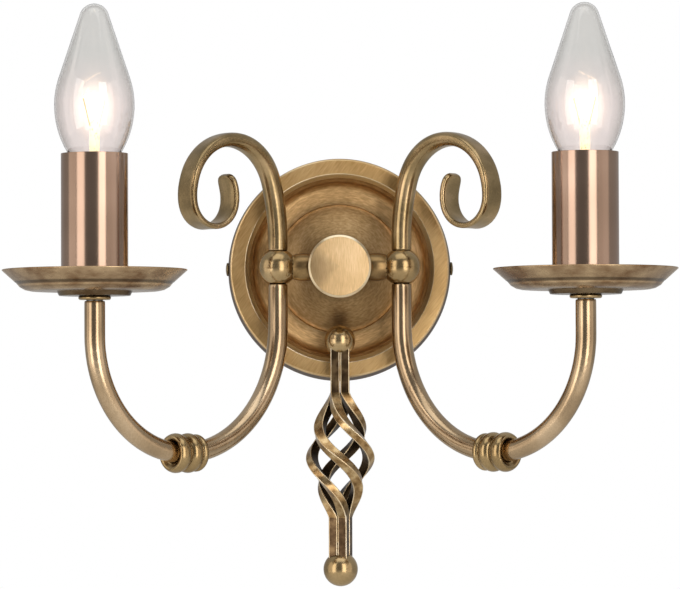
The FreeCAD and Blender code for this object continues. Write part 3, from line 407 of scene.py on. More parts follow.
def knob_painted_shade(material, colour):
    """Painted shade in a fan on the knob's face: darker towards the left, palest at the right."""
    radius, angle = radius_and_angle(material)
    off = add(material, "Math", DIFFERENCE, angle, KNOB_SHADE_WAY).outputs[0]
    along = add(material, "Math", {"operation": "COSINE"}, off).outputs[0]
    fan = add(material, "MapRange", EASED, along, 0.55, 1.0, 0.0, 1.0).outputs[0]
    reach = add(material, "MapRange", None, radius, 1.0 * MM, 12.0 * MM, 0.1, 0.5).outputs[0]
    dark = add(material, "Math", PRODUCT, fan, reach).outputs[0]
    return dimmed(material, colour, add(material, "Math", DIFFERENCE, 1.0, dark).outputs[0])


# %% [markdown]
# ## The metals of this light
# Each is named for what it is and how its surface was made. Its three colours are the patina, the
# metal and the rubbed metal, and the number after them is its roughness: 0.17 mirrors the room in
# clear stripes, 0.25 has a satin gloss, and 0.48 only glows.

# %% Metals
RING_LEAN = math.radians(-38)
SPIN_REACH = 6.0 * MM          # how far one radian round the canopy is drawn out

FINISH = {
    # drawn tube, lacquered: long clear stripes and hardly a mark
    "tube_brass": brass_finish(
        "antique_brass_tube", ("#9C866A", "#B29A7A", "#C8B090"), 0.20, marks_mm=0.9,
        stretch=(1, 1, 0.12), share=0.2, bump=0.0, patina=None),
    # forged and rolled up hot: darker, with a tone that changes every centimetre or so
    "scroll_brass": brass_finish(
        "antique_brass_scroll", ("#8A7654", "#A08A64", "#B89E78"), 0.25, marks_mm=1.2, share=0.2,
        bump=0.0, tone_mm=14.0, patina=None),
    # turned on a lathe: even and fairly glossy
    "ball_brass": brass_finish(
        "antique_brass_turned", ("#927A54", "#A68E66", "#BCA47C"), 0.22, marks_mm=0.9, share=0.2,
        bump=0.05),
    # spun from sheet: fine rings round the axis, a broad soft sheen, and painted shade and highlight by
    # radius
    "spun_brass": brass_finish(
        "antique_brass_spun", ("#94774F", "#B09064", "#CCAC7E"), 0.48,
        place=lambda material: turned_place(material, SPIN_REACH), marks_mm=0.7, bump=0.35,
        share=0.6, soil_and_painted_light=canopy_shade_and_highlight, patina=(2.0, 0.4), uneven=0.05),
    # brushed straight and slanting: streaks, and gloss that spreads across them
    "ring_brass": brass_finish(
        "antique_brass_brushed_ring", ("#A28252", "#BC9A68", "#D0B07E"), 0.40,
        place=lambda material: leaning_place(material, RING_LEAN), marks_mm=0.45,
        stretch=(1, 1, 0.08), share=0.5, bump=0.35, anisotropy=0.6,
        tangent=across_brush(RING_LEAN), patina=None, uneven=0.05),
    # painted highlight: a pale line along the canopy's bevel and rim and the knob's bevel
    "edge_brass": brass_finish("painted_highlight_brass_edge", ("#DCC8A4", "#EADAB8", "#F4E8CE"), 0.3, patina=None),
    "rim_brass": brass_finish("painted_highlight_brass_rim", ("#B4966A", "#CCB084", "#E2CAA2"), 0.3, patina=None),
    # brushed up and down: the palest face of the light, with a fan of painted shade
    "knob_brass": brass_finish(
        "brushed_brass_knob", ("#C8A87A", "#DCBC8C", "#ECCEA2"), 0.42, marks_mm=0.3,
        stretch=(1, 1, 0.07), share=0.5, bump=0.3, anisotropy=0.6, tangent=across_brush(0.0),
        soil_and_painted_light=knob_painted_shade, patina=None),
    # spun thin and soiled: cloudy brown, with painted rings of shade and highlight
    "pan_brass": brass_finish(
        "antique_brass_pan", ("#8A6A4A", "#B09472", "#CAAE88"), 0.27, marks_mm=1.4,
        stretch=(0.3, 0.3, 1), tone_mm=11.0, share=0.3, bump=0.05, soil_and_painted_light=pan_shade_and_highlights, patina=(3.0, 0.7)),
    # hot twisted bar: mottled outside, black inside as painted shade, bright on its corners, brown in its
    # necks
    "bar_brass": brass_finish(
        "antique_brass_bar", ("#745A38", "#A2845A", "#CAB084"), 0.24, marks_mm=1.2, tone_mm=5.0,
        share=0.2, bump=0.04, soil_and_painted_light=neck_tones, patina=(5.0, 0.6)),
    # painted shade on the bars' faces turned to the drop's axis
    "bar_shade": brass_finish(
        "painted_shade_bar", ("#221A10", "#382C1E", "#4E3F2E"), 0.34, marks_mm=1.2, tone_mm=8.0,
        share=0.2, bump=0.04, patina=None),
    "bar_edge": brass_finish(
        "rubbed_brass_bar_edge", ("#C0A680", "#DCC6A0", "#F0E2C8"), 0.3, tone_mm=7.0, share=0.2,
        bump=0.04, patina=None),
    "bar_neck": brass_finish(
        "dark_antique_brass_bar_neck", ("#3A2C1E", "#54422F", "#7A6448"), 0.30, marks_mm=1.2,
        stretch=(1, 1, 0.2), tone_mm=5.0, share=0.2, bump=0.04, patina=None),
    # the piece between hub and ball: darker tones paint the shade it sits in, and dull
    "spigot_brass": brass_finish(
        "painted_shade_brass_spigot", ("#7A6242", "#947A52", "#AE9464"), 0.30, marks_mm=0.9,
        share=0.2, bump=0.05, patina=(3.0, 0.8)),
    # drawn tube tinted copper: a smooth wall that mirrors the softboxes
    "sleeve_bronze": brass_finish(
        "copper_bronze_brushed_sleeve", ("#98806E", "#A88E7C", "#B89E8C"), 0.17, marks_mm=2.2,
        stretch=(1, 1, 0.02), tone_mm=60.0, share=0.12, bump=0.0, patina=None, uneven=0.0),
    # plain fixings that no one polished
    "screw_brass": brass_finish(
        "plain_turned_brass", ("#9A7A40", "#C29A58", "#D8B878"), 0.3, marks_mm=0.4),
    "zinc_steel": brass_finish(
        "zinc_plated_steel", ("#8E8E8A", "#ABABA6", "#C2C2BC"), 0.38, marks_mm=0.6, tone_mm=6.0),
    "nickel": brass_finish("rolled_nickel_cap", ("#A8A8A6", "#BEBEBC", "#D2D2D0"), 0.25)}
print(len(FINISH), "metals")

# %% [markdown]
# ## Glass, plastics and the lit filament
# Lamp glass is thin and clear, a little grey. The hot filament is far brighter than the picture can
# show, so it burns out to white, and the gas round it seems to glow. Moulded plastic has a faint
# grain and a soft gloss. Real glass bends light, so it is drawn with its true index, 1.5, and not as
# a see-through colour.

# %% Glass and glow
GLASS_IOR = 1.5
GREY_FROM, GREY_TO = 22.0, 44.0    # over the sleeve's top, where the glass turns grey


def clear_glass(name, belly, tip, edge):
    """Thin lamp glass, greyer towards its tip and where the eye looks along the wall."""
    material, output = new_finish(name)
    ripple = add(material, "TexNoise", Vector=object_place(material), Scale=1.0 / (9.0 * MM))
    relief = add(material, "Bump", Height=ripple.outputs["Fac"], Strength=0.05, Distance=0.3 * MM)
    upwards = add(material, "MapRange", None, height_on(material), (sleeve_top + GREY_FROM) * MM,
                  (sleeve_top + GREY_TO) * MM, 0.0, 1.0).outputs[0]
    body = stops_set(add(material, "ValToRGB", None, upwards), [(0.0, linear(belly)), (1.0, linear(tip))])
    along_wall = add(material, "LayerWeight", Blend=0.5).outputs["Facing"]
    rim = add(material, "MapRange", None, along_wall, 0.3, 0.95, 0.0, 1.0).outputs[0]
    colour = add(material, "Mix", COLOURS, _0=rim, _6=body, _7=linear(edge)).outputs[2]
    glass = add(material, "BsdfPrincipled", Base_Color=colour, Roughness=0.0, IOR=GLASS_IOR,
                Transmission_Weight=1.0, Normal=relief.outputs[0])
    material.node_tree.links.new(glass.outputs[0], output.inputs[0])
    return material


def glowing(name, colour, strength):
    """Hot metal: grey and grainy under its own light."""
    material, output = new_finish(name)
    grain = add(material, "TexNoise", Vector=object_place(material), Scale=1.0 / (1.5 * MM))
    base = stops_set(add(material, "ValToRGB", None, grain.outputs["Fac"]),
                     [(0.3, linear("#7A7470")), (0.7, linear("#9A948C"))])
    metal = add(material, "BsdfPrincipled", Base_Color=base, Metallic=1.0, Roughness=0.4,
                Emission_Color=linear(colour), Emission_Strength=strength)
    material.node_tree.links.new(metal.outputs[0], output.inputs[0])
    return material


def moulded(name, dark, light, roughness, grain_mm=0.6):
    """Plastic or paint with a faint grain."""
    material, output = new_finish(name)
    grain = streaks(material, object_place(material), grain_mm)
    colour = stops_set(add(material, "ValToRGB", None, grain), [(0.3, linear(dark)), (0.7, linear(light))])
    relief = add(material, "Bump", Height=grain, Strength=0.2, Distance=SCRATCH_DEPTH)
    plastic = add(material, "BsdfPrincipled", Base_Color=colour, Roughness=roughness, IOR=1.48,
                  Normal=relief.outputs[0])
    material.node_tree.links.new(plastic.outputs[0], output.inputs[0])
    return material


def sparkling(name, bright, dark, strength):
    """Pressed glass that is lit from above and sparkles, with small dark specks."""
    material, output = new_finish(name)
    specks = add(material, "TexVoronoi", Vector=object_place(material), Scale=1.0 / (1.1 * MM))
    colour = stops_set(add(material, "ValToRGB", None, specks.outputs["Distance"]),
                       [(0.12, linear(dark)), (0.3, linear(bright))])
    glass = add(material, "BsdfPrincipled", Base_Color=colour, Roughness=0.1, IOR=GLASS_IOR,
                Emission_Color=colour, Emission_Strength=strength)
    material.node_tree.links.new(glass.outputs[0], output.inputs[0])
    return material


FINISH.update({
    "lamp_glass": clear_glass("clear_lamp_glass", "#F0EAE8", "#E8E7E5", "#9C9A96"),
    "stem_glass": sparkling("pressed_stem_glass_lit", "#FFF0C4", "#8A7440", 1.1),
    "filament": glowing("tungsten_filament_lit", "#FFE2B8", 4.0),
    "support": glowing("support_wire_lit", "#FFC070", 1.0),
    "white_moulding": moulded("white_polyamide", "#DEDBD2", "#EAE8E0", 0.45),
    "black_moulding": moulded("black_phenolic", "#15130F", "#221F1A", 0.35),
    # painted shade: the canopy's side wall, dark and dull
    "side_shade": moulded("painted_shade_canopy_side", "#3A2C20", "#564432", 0.6),
    "cable": moulded("cable_insulation", "#26221E", "#332E28", 0.5),
    "insulator": moulded("black_glass_bead", "#0C0C10", "#17171D", 0.12)})
print(len(FINISH), "finishes")

# %% [markdown]
# ## Pieces that stay as the frame has them
# Hidden and plain pieces keep the frame's own solids and only get a finish. Where such a piece shows,
# a copy of it is merged, so that its facets share corners and shade as one round surface.

# %% Finish for each node
NODE_FINISH = {
    "wall_bracket": "zinc_steel", "earth_screw": "screw_brass", "terminal_block": "white_moulding",
    "terminal_screws": "screw_brass", "canopy": "spun_brass", "canopy_side_screws": "ball_brass",
    "hub": "ball_brass", "hub_knob": "knob_brass", "hub_stem": "zinc_steel", "hub_washer": "zinc_steel",
    "hub_lock_nut": "zinc_steel", "drop_rod": "screw_brass", "drop_nut": "zinc_steel",
    "drop_top_ball": "ball_brass", "twist_bars": "bar_brass", "drop_finial_ball": "ball_brass",
    "pan_nuts": "zinc_steel", "spigot": "spigot_brass", "arm_ball": "ball_brass",
    "arm_tube": "tube_brass", "knot_collar": "ball_brass", "scroll": "scroll_brass",
    "drip_pan": "pan_brass", "pan_collar": "ball_brass", "pan_nipple": "zinc_steel",
    "holder_foot": "zinc_steel", "holder_body": "black_moulding", "holder_shell": "screw_brass",
    "holder_contact": "screw_brass", "candle_sleeve": "sleeve_bronze", "bulb_glass": "lamp_glass",
    "bulb_cap": "nickel", "bulb_insulator": "insulator", "bulb_contact": "nickel",
    "bulb_stem": "stem_glass", "bulb_wires": "support", "bulb_filament": "filament", "lead": "cable"}


def kind_of(node):
    """A node's name without its side."""
    for side in SIDES:
        if node.startswith(side + "_"):
            return node[len(side) + 1:]
    return node


def dress(piece, finish):
    """Give a piece one finish all over."""
    piece.data.materials.clear()
    piece.data.materials.append(FINISH[finish])


record = frame["record"]
body_of = {node: body for body, nodes in record["behaviour"]["bodies"].items() for node in nodes}
for node, solid in frame["nodes"].items():
    dress(solid, NODE_FINISH[kind_of(node)])
print(len(frame["nodes"]), "nodes dressed")

# %% Copies that shade smoothly
MERGE = 1e-6                   # corners nearer than this are one
SMOOTH_ANGLE = math.radians(32)


def choose(piece):
    """Make one piece the only selected and the active one."""
    bpy.ops.object.select_all(action="DESELECT")
    piece.select_set(True)
    bpy.context.view_layer.objects.active = piece


def mount(piece, node):
    """Let a piece ride with its node's body, and hide the node so that the piece stands in for it."""
    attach(piece, body_of[node])
    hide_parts(node)


def smooth_copy(node):
    """Stand-in for a node: a copy of its solid with shared corners and smooth shading."""
    piece = frame["nodes"][node].copy()
    piece.data = frame["nodes"][node].data.copy()
    piece.name = node + "_smooth"
    piece.parent = None
    for key in list(piece.keys()):
        del piece[key]
    bpy.context.scene.collection.objects.link(piece)
    choose(piece)
    bpy.ops.object.mode_set(mode="EDIT")
    bpy.ops.mesh.select_all(action="SELECT")
    bpy.ops.mesh.remove_doubles(threshold=MERGE)
    bpy.ops.object.mode_set(mode="OBJECT")
    bpy.ops.object.shade_smooth_by_angle(angle=SMOOTH_ANGLE)
    mount(piece, node)
    return piece


# %% [markdown]
# ## A lathe
# The canopy, knob, pans and sleeves are round: spun, turned or drawn. Each could be a copy of its
# solid, but real ones have soft edges that catch the light, so they are turned here. A circle is
# extruded ring by ring along the piece's profile, and a bevel rounds its corners.


# %% The lathe
def start_ring(radius, height, sides):
    """A bare circle in edit mode, the first ring of a turned piece."""
    bpy.ops.object.select_all(action="DESELECT")
    bpy.ops.mesh.primitive_circle_add(vertices=sides, radius=radius * MM, location=(0, 0, height * MM))
    piece = bpy.context.object
    bpy.ops.object.transform_apply(location=True, rotation=True, scale=True)
    bpy.ops.object.mode_set(mode="EDIT")
    bpy.ops.mesh.select_all(action="SELECT")
    return piece


def raise_ring(rise):
    """Extrude the selected ring upwards by a rise in mm."""
    bpy.ops.mesh.extrude_region_move(TRANSFORM_OT_translate={"value": (0, 0, rise * MM)})


def turned(name, profile, sides, hollow=True):
    """Piece turned about Z from (radius, height) points in mm. A hollow one ends at its first ring,
    a solid one has its first ring closed by a flat disc and ends on the axis."""
    radius, height = profile[0]
    piece = start_ring(radius, height, sides)
    for next_radius, next_height in profile[1:] + (profile[:1] if hollow else []):
        raise_ring(next_height - height)
        height = next_height
        if next_radius > 0:
            share = next_radius / radius
            bpy.ops.transform.resize(value=(share, share, 1), center_override=(0, 0, height * MM))
            radius = next_radius
        else:
            bpy.ops.mesh.merge(type="COLLAPSE")
    if not hollow:
        bpy.ops.mesh.select_mode(type="VERT")
        bpy.ops.mesh.select_all(action="DESELECT")
        bpy.ops.mesh.select_non_manifold()
        bpy.ops.mesh.extrude_region_move()
        bpy.ops.mesh.merge(type="COLLAPSE")
    bpy.ops.mesh.select_all(action="SELECT")
    bpy.ops.mesh.remove_doubles(threshold=MERGE)
    bpy.ops.mesh.normals_make_consistent(inside=False)
    bpy.ops.object.mode_set(mode="OBJECT")
    piece.name = name
    return piece


def arc(centre, radius, first, last, count):
    """Points on an arc, angles in degrees from the outward radius up to the axis."""
    angles = [math.radians(first + (last - first) * k / count) for k in range(count + 1)]
    return [(centre[0] + radius * math.cos(a), centre[1] + radius * math.sin(a)) for a in angles]


# %% Rounding, and putting a piece in its place
made = set()


def soften(piece, width, segments=3, angle=25.0):
    """Round every crisp edge by a bevel. Its hardened normals keep the flat faces flat."""
    choose(piece)
    bpy.ops.object.shade_smooth()
    bevel = piece.modifiers.new("bevel", "BEVEL")
    bevel.width = width * MM
    bevel.segments = segments
    bevel.limit_method = "ANGLE"
    bevel.angle_limit = math.radians(angle)
    bevel.harden_normals = True
    bpy.ops.object.modifier_apply(modifier="bevel")
    return piece


def put(piece, place, out_of_wall=False):
    """Move a piece to its place, turned to face the room where it points out of the wall."""
    choose(piece)
    if out_of_wall:
        piece.rotation_euler = (math.radians(90), 0, 0)
    piece.location = place
    bpy.ops.object.transform_apply(location=True, rotation=True, scale=True)


def settle(piece, node, finish, place=(0.0, 0.0, 0.0), out_of_wall=False):
    """Put a turned piece in its node's place, finished and mounted."""
    put(piece, place, out_of_wall)
    dress(piece, finish)
    mount(piece, node)
    made.add(node)
    low, high = ([round(v / MM, 1) for v in corner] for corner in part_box(node))
    print(node, len(piece.data.polygons), "faces, frame", low, high)
    return piece


def candle_foot(side):
    """Place on a candle's axis, at the height of the hub."""
    return candle_place[side].x, candle_place[side].y, 0


# %% [markdown]
# ## Canopy
# The real canopy is spun from a brass disc: a flat ring, a bright bevel inside it, a recess and a
# shallow dome. The ring is brushed with straight strokes. After turning, its faces get their finishes
# by how far they lie from the axis and how they face: the bevel and the rounded rim a painted
# highlight, and the side wall a painted shade.

# %% The canopy's profile
WALL = 1.0
RIM_ROUND = 1.3                # rounding between side and ring
RIM_RADIUS = 48.7              # where the ring meets that rounding
RING_DEPTH = 22.0              # how far the ring stands out of the wall
MOAT_DEPTH = 14.6              # and the recess's floor
MOAT_ROUND = 4.0               # rounding at the foot of the recess's outer side
MOAT_RADIUS = 35.6             # where the floor meets that rounding
HOLE_RADIUS = 4.95
canopy_low, canopy_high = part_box("canopy")
canopy_front = -canopy_low.y / MM
canopy_back = -canopy_high.y / MM

face = [(51.2, canopy_back), (50.0, RING_DEPTH - RIM_ROUND)]
face += arc((RIM_RADIUS, RING_DEPTH - RIM_ROUND), RIM_ROUND, 15, 90, 4)
face += [(43.0, RING_DEPTH), (41.2, RING_DEPTH - 1.6), (39.6, MOAT_DEPTH + MOAT_ROUND)]
face += arc((MOAT_RADIUS, MOAT_DEPTH + MOAT_ROUND), MOAT_ROUND, -15, -90, 5)
face += [(29.5, MOAT_DEPTH), (29.1, MOAT_DEPTH + 1.6), (21.9, 22.4), (14.0, canopy_front),
         (HOLE_RADIUS, canopy_front)]
back = [(HOLE_RADIUS, canopy_front - WALL), (13.7, canopy_front - WALL), (21.4, 21.5),
        (28.2, MOAT_DEPTH + 1.0), (28.6, MOAT_DEPTH - WALL)]
back += arc((MOAT_RADIUS, MOAT_DEPTH + MOAT_ROUND), MOAT_ROUND + WALL, -90, -15, 5)
back += [(42.4, RING_DEPTH - 2.2), (43.5, RING_DEPTH - WALL), (RIM_RADIUS, RING_DEPTH - WALL),
         (49.0, RING_DEPTH - RIM_ROUND), (50.2, canopy_back)]
canopy = soften(turned("canopy_spun", face + back, sides=160), 0.25)
settle(canopy, "canopy", "spun_brass", out_of_wall=True)

# %% The canopy's finishes
RIM_FROM = 48.9                # radii at which a finish starts or ends
RING_FROM = 43.3
BEVEL_FROM, BEVEL_TO = 41.1, 43.4
SIDE_FROM = 49.3
RING, BEVEL, SIDE, RIM = 1, 2, 3, 4

# brushed ring, painted highlight on the bevel, painted shade on the side wall, painted highlight on the
# rim
for finish in ("ring_brass", "edge_brass", "side_shade", "rim_brass"):
    canopy.data.materials.append(FINISH[finish])
for polygon in canopy.data.polygons:
    reach = math.hypot(polygon.center.x, polygon.center.z) / MM
    depth = -polygon.center.y / MM
    facing = -polygon.normal.y         # 1 straight into the room
    if reach > RIM_FROM and 0.3 < facing < 0.95:
        polygon.material_index = RIM
    elif reach > RING_FROM and depth > RING_DEPTH - 0.3 and facing > 0.5:
        polygon.material_index = RING
    elif BEVEL_FROM < reach < BEVEL_TO and depth > RING_DEPTH - 1.9 and facing > 0.2:
        polygon.material_index = BEVEL
    elif reach > SIDE_FROM and facing < 0.5:
        polygon.material_index = SIDE

# %% [markdown]
# ## Knob
# The knob closes the hub. It is a solid brass button from a lathe with a hollow back, a wide bevel
# and a face that is barely domed, brushed up and down. A squashed sphere would be quicker, but only
# the lathe gives the crisp bevel that shines as a pale ring round the face.

# %% The knob
KNOB_BEVEL = 1.1
KNOB_SOCKET = 7.7              # radius of the hollow that takes the hub
KNOB_LIP = 9.3
knob_low, knob_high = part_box("hub_knob")
knob_front = -knob_low.y / MM
knob_back = -knob_high.y / MM
knob_seat = -middle("hub_knob").y / MM - 1.0
knob_radius = knob_high.x / MM
knob = [(KNOB_SOCKET, knob_seat), (KNOB_SOCKET, knob_back), (KNOB_LIP, knob_back), (KNOB_LIP, knob_seat),
        (knob_radius, knob_seat), (knob_radius, knob_front - 1.3),
        (knob_radius - KNOB_BEVEL, knob_front - 0.4), (7.0, knob_front - 0.1), (0.0, knob_front)]
button = soften(turned("hub_knob_turned", knob, sides=96, hollow=False), 0.2)
settle(button, "hub_knob", "knob_brass", out_of_wall=True)
# The bevel's pale ring is a painted highlight.
button.data.materials.append(FINISH["edge_brass"])
for polygon in button.data.polygons:
    reach = math.hypot(polygon.center.x, polygon.center.z) / MM
    if reach > knob_radius - 1.0 and polygon.normal.y < -0.1:
        polygon.material_index = 1

# %% [markdown]
# ## Candle sleeves
# A sleeve is a length of thin drawn tube, brushed along its length and tinted copper. Its whole look
# is in its smooth wall, which mirrors the softboxes as long stripes. The frame's solid has facets
# that would show there, so the sleeve is turned anew with many sides.

# %% The sleeves
SLEEVE_WALL = 0.5
SLEEVE_EDGE = 0.6              # a ring this far from each end keeps the wall's shading straight

for side in SIDES:
    node = side + "_candle_sleeve"
    sleeve_low, sleeve_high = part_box(node)
    outer = (sleeve_high.x - sleeve_low.x) / 2 / MM
    inner = outer - SLEEVE_WALL
    low = sleeve_low.z / MM
    tube = [(outer, low), (outer, low + SLEEVE_EDGE), (outer, sleeve_top - SLEEVE_EDGE),
            (outer, sleeve_top), (inner, sleeve_top), (inner, low)]
    sleeve = soften(turned(node + "_turned", tube, sides=160), 0.12, segments=2)
    settle(sleeve, node, "sleeve_bronze", place=candle_foot(side))

# %% [markdown]
# ## Drip pans
# Each pan is spun from thin sheet, with a sloping rim, a groove where the tool stopped and a round
# bowl. It is turned as the canopy is, from a line down its outside and back up its inside, and all
# heights are measured down from its edge, as a spinner's template is.

# %% The pans
PAN_SLOPE = 5.8                # width of the sloping rim
PAN_BOWL = 9.4                 # depth of the bowl's floor, outside
PAN_BOSS = 16.5
PAN_HOLE = 3.8
PAN_SHEET = 1.0

for side in SIDES:
    node = side + "_drip_pan"
    pan_low, pan_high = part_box(node)
    top = pan_high.z / MM
    floor = pan_low.z / MM
    reach = (pan_high.x - pan_low.x) / 2 / MM
    foot = reach - PAN_SLOPE
    bowl = top - PAN_BOWL
    outside = [(reach, top - 0.4), (foot + 0.1, top - 5.5), (foot - 0.5, top - 5.9),
               (foot - 1.9, top - 7.6), (foot - 4.2, top - 8.9), (28.0, bowl), (PAN_BOSS, bowl),
               (PAN_BOSS - 1.0, floor), (PAN_HOLE, floor)]
    inside = [(PAN_HOLE, floor + PAN_SHEET), (14.8, floor + PAN_SHEET), (15.8, bowl + PAN_SHEET),
              (27.8, bowl + PAN_SHEET), (foot - 4.7, top - 8.0), (foot - 2.6, top - 6.9),
              (foot - 1.1, top - 5.0), (reach - 1.2, top), (reach - 0.2, top)]
    pan = soften(turned(node + "_spun", outside + inside, sides=128), 0.2)
    settle(pan, node, "pan_brass", place=candle_foot(side))

# %% [markdown]
# ## Arms and scrolls
# Each arm is a tube bent cold, and each scroll a tube that was drawn out flat and rolled up hot, so
# their edges are soft and nothing on them is quite straight. A copy of the solid is remeshed into
# small even cells and smoothed, which does the same, and lets the long stripes of light run clean.

# %% The arms and the scrolls
RELAX = 0.5

# kind of piece, size of a cell in mm, and rounds of smoothing
for kind, cell_mm, rounds in (("scroll", 0.30, 22), ("arm_tube", 0.50, 24)):
    for side in SIDES:
        bend = smooth_copy(side + "_" + kind)
        choose(bend)
        remesh = bend.modifiers.new("remesh", "REMESH")
        remesh.mode = "VOXEL"
        remesh.voxel_size = cell_mm * MM
        bpy.ops.object.modifier_apply(modifier="remesh")
        relax = bend.modifiers.new("relax", "SMOOTH")
        relax.factor = RELAX
        relax.iterations = rounds
        bpy.ops.object.modifier_apply(modifier="relax")
        bpy.ops.object.shade_smooth()
        made.add(side + "_" + kind)
        print(bend.name, len(bend.data.polygons), "faces")

# %% [markdown]
# ## Basket
# Four square bars are twisted together hot and then untwisted a little, which opens the basket. One
# straight bar with many cuts is made here, and each ring of it is stretched, moved out and turned
# about the drop's axis, as the smith does along the real one. The other three are copies.

# %% The basket's line
BAR = 4.2
BAR_GAP = 0.25
BASKET_TOP, BASKET_BOTTOM = -56.5, -113.3
BASKET_RADIUS = 15.8           # over the bars' outer corners
BASKET_TWIST = 251.0
BASKET_EASE = 0.1              # how much gentler the twist is at both ends
BASKET_SWELL = 1.45            # above 1 the ends narrow sooner
bars_low, bars_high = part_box("twist_bars")
drop_place = middle("twist_bars")
bar_corner = BAR / math.sqrt(2)
bar_circle = (BAR + BAR_GAP) / math.sqrt(2)
swell = BASKET_RADIUS - bar_corner - bar_circle


def basket_line(height):
    """Radius and turn of a bar's middle at a height, as the smith bent it."""
    share = min(max((BASKET_TOP - height) / (BASKET_TOP - BASKET_BOTTOM), 0.0), 1.0)
    radius = bar_circle + swell * math.sin(math.pi * share) ** BASKET_SWELL
    ease = BASKET_EASE * math.sin(2 * math.pi * share) / (2 * math.pi)
    return radius, math.radians(BASKET_TWIST * (share - ease))


# %% The bars
CUTS = 70
STEP = 0.2                     # mm up and down, to measure a bar's slope


def twisted_bar(cuts):
    """One bar, ring by ring from the lower ball up to the upper one, with its edges rounded."""
    low, high = bars_low.z / MM, bars_high.z / MM
    rings = [BASKET_BOTTOM + (BASKET_TOP - BASKET_BOTTOM) * k / cuts for k in range(cuts + 1)] + [high]
    piece = start_ring(bar_corner, low, 4)
    height = low
    for ring in rings:
        raise_ring(ring - height)
        height = ring
    bpy.ops.mesh.select_all(action="SELECT")
    bpy.ops.mesh.fill_holes(sides=0)
    for ring in [low] + rings:
        bpy.ops.mesh.select_all(action="DESELECT")
        bpy.ops.object.mode_set(mode="OBJECT")
        for point in piece.data.vertices:
            point.select = abs(point.co.z / MM - ring) < 0.01
        bpy.ops.object.mode_set(mode="EDIT")
        radius, turn = basket_line(ring)
        above, below = basket_line(ring + STEP), basket_line(ring - STEP)
        outwards = math.hypot(1.0, (above[0] - below[0]) / (2 * STEP))
        around = math.hypot(1.0, radius * (above[1] - below[1]) / (2 * STEP))
        bpy.ops.transform.resize(value=(outwards, around, 1), center_override=(0, 0, ring * MM))
        bpy.ops.transform.translate(value=(radius * MM, 0, 0))
        bpy.ops.transform.rotate(value=-turn, orient_axis="Z", center_override=(0, 0, 0))
    bpy.ops.mesh.select_all(action="SELECT")
    bpy.ops.mesh.normals_make_consistent(inside=False)
    bpy.ops.object.mode_set(mode="OBJECT")
    return soften(piece, 0.42, segments=2, angle=50)


bars = [twisted_bar(CUTS)]
for number in range(3):
    copy = bars[0].copy()
    copy.data = bars[0].data.copy()
    bpy.context.scene.collection.objects.link(copy)
    bars.append(copy)
for quarter, piece in enumerate(bars):
    choose(piece)
    piece.rotation_euler = (0, 0, math.radians(45 + 90 * quarter))
    bpy.ops.object.transform_apply(location=True, rotation=True, scale=True)
for piece in bars:
    piece.select_set(True)
bar = bars[0]
bpy.context.view_layer.objects.active = bar
bpy.ops.object.join()
bar.name = "twisted_basket"
settle(bar, "twist_bars", "bar_brass", place=(drop_place.x, drop_place.y, 0))

# %% The bars' finishes
CORNER_WIDTH = 0.5 * MM        # a face narrower than this is a rounded corner
INNER, CORNER, NECK = 1, 2, 3

for finish in ("bar_shade", "bar_edge", "bar_neck"):
    bar.data.materials.append(FINISH[finish])
for polygon in bar.data.polygons:
    away = Vector((polygon.center.x - drop_place.x, polygon.center.y - drop_place.y, 0)).normalized()
    corners = [bar.data.vertices[k].co for k in polygon.vertices]
    narrowest = min((corners[k] - corners[k - 1]).length for k in range(len(corners)))
    if narrowest < CORNER_WIDTH:
        polygon.material_index = CORNER
    elif not BASKET_BOTTOM < polygon.center.z / MM < BASKET_TOP:
        polygon.material_index = NECK
    # Faces turned towards the drop's axis get a painted shade.
    elif polygon.normal.dot(away) < 0.1:
        polygon.material_index = INNER

# %% [markdown]
# ## Glow in the lamps
# The lamps are lit. Through the glass one sees no wire but a white burst with a warm fringe. That is
# the eye's glare, drawn here as a thin cloud of light that fades outwards and rides with the lamp.
# Its skin is clear, so an export that knows no clouds shows nothing of it.

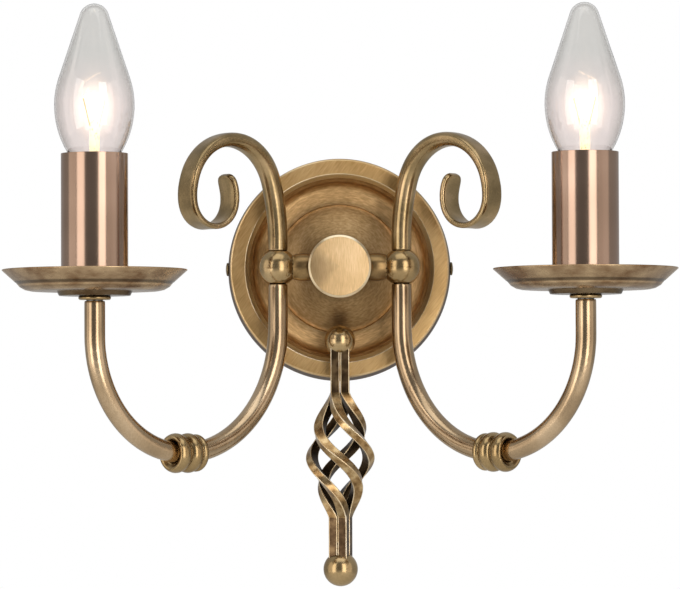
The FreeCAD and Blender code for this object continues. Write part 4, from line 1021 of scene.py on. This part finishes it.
# %% The glow
GLOW_WIDTH, GLOW_TALL = 12.0, 17.0
GLOW_HEIGHT = 20.0             # of its middle over the sleeve's top
GLOW_STRENGTH = 80.0
GLOW_SKIN = 0.98               # the skin lies just inside the place where the light has faded


def glow_finish(name, centre):
    """Clear skin round a cloud that gives light, in strength per metre, fading from a centre."""
    material, output = new_finish(name)
    reach = Vector((GLOW_WIDTH, GLOW_WIDTH, GLOW_TALL)) * MM
    place = add(material, "Mapping", Vector=object_place(material), Scale=[1 / r for r in reach],
                Location=[-c / r for c, r in zip(centre, reach)]).outputs[0]
    square = add(material, "VectorMath", {"operation": "DOT_PRODUCT"}, place, place).outputs["Value"]
    left_over = add(material, "Math", DIFFERENCE, 1.0, square).outputs[0]
    inside = add(material, "Math", LARGER, left_over, 0.0).outputs[0]
    fade = add(material, "Math", PRODUCT, inside, inside).outputs[0]
    colour = stops_set(add(material, "ValToRGB", None, fade),
                       [(0.0, linear("#FFC8A0")), (0.35, linear("#FFE8CC")), (0.8, linear("#FFF8EC"))])
    strength = add(material, "Math", PRODUCT, fade, GLOW_STRENGTH).outputs[0]
    skin = add(material, "BsdfPrincipled", Base_Color=linear("#FFF4E4"), Alpha=0.0, Roughness=1.0)
    cloud = add(material, "Emission", None, colour, strength)
    material.node_tree.links.new(skin.outputs[0], output.inputs["Surface"])
    material.node_tree.links.new(cloud.outputs[0], output.inputs["Volume"])
    return material


wide = GLOW_WIDTH * GLOW_SKIN
tall = GLOW_TALL * GLOW_SKIN
flame = [(wide * math.cos(a), tall * math.sin(a)) for a in (math.radians(20 * k - 80) for k in range(9))]
for side in SIDES:
    name = side + "_lamp_glow"
    centre = Vector((candle_place[side].x, candle_place[side].y, (sleeve_top + GLOW_HEIGHT) * MM))
    cloud = turned(name, flame + [(0.0, tall)], sides=32, hollow=False)
    put(cloud, centre)
    bpy.ops.object.shade_smooth()
    cloud.data.materials.append(glow_finish(name, centre))
    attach(cloud, side + "_bulb")
    print(name, len(cloud.data.polygons), "faces")

# %% The other pieces, as smooth copies
for node in sorted(set(frame["nodes"]) - made):
    smooth_copy(node)
print(len(made), "nodes made anew,", len(frame["nodes"]) - len(made), "copied")
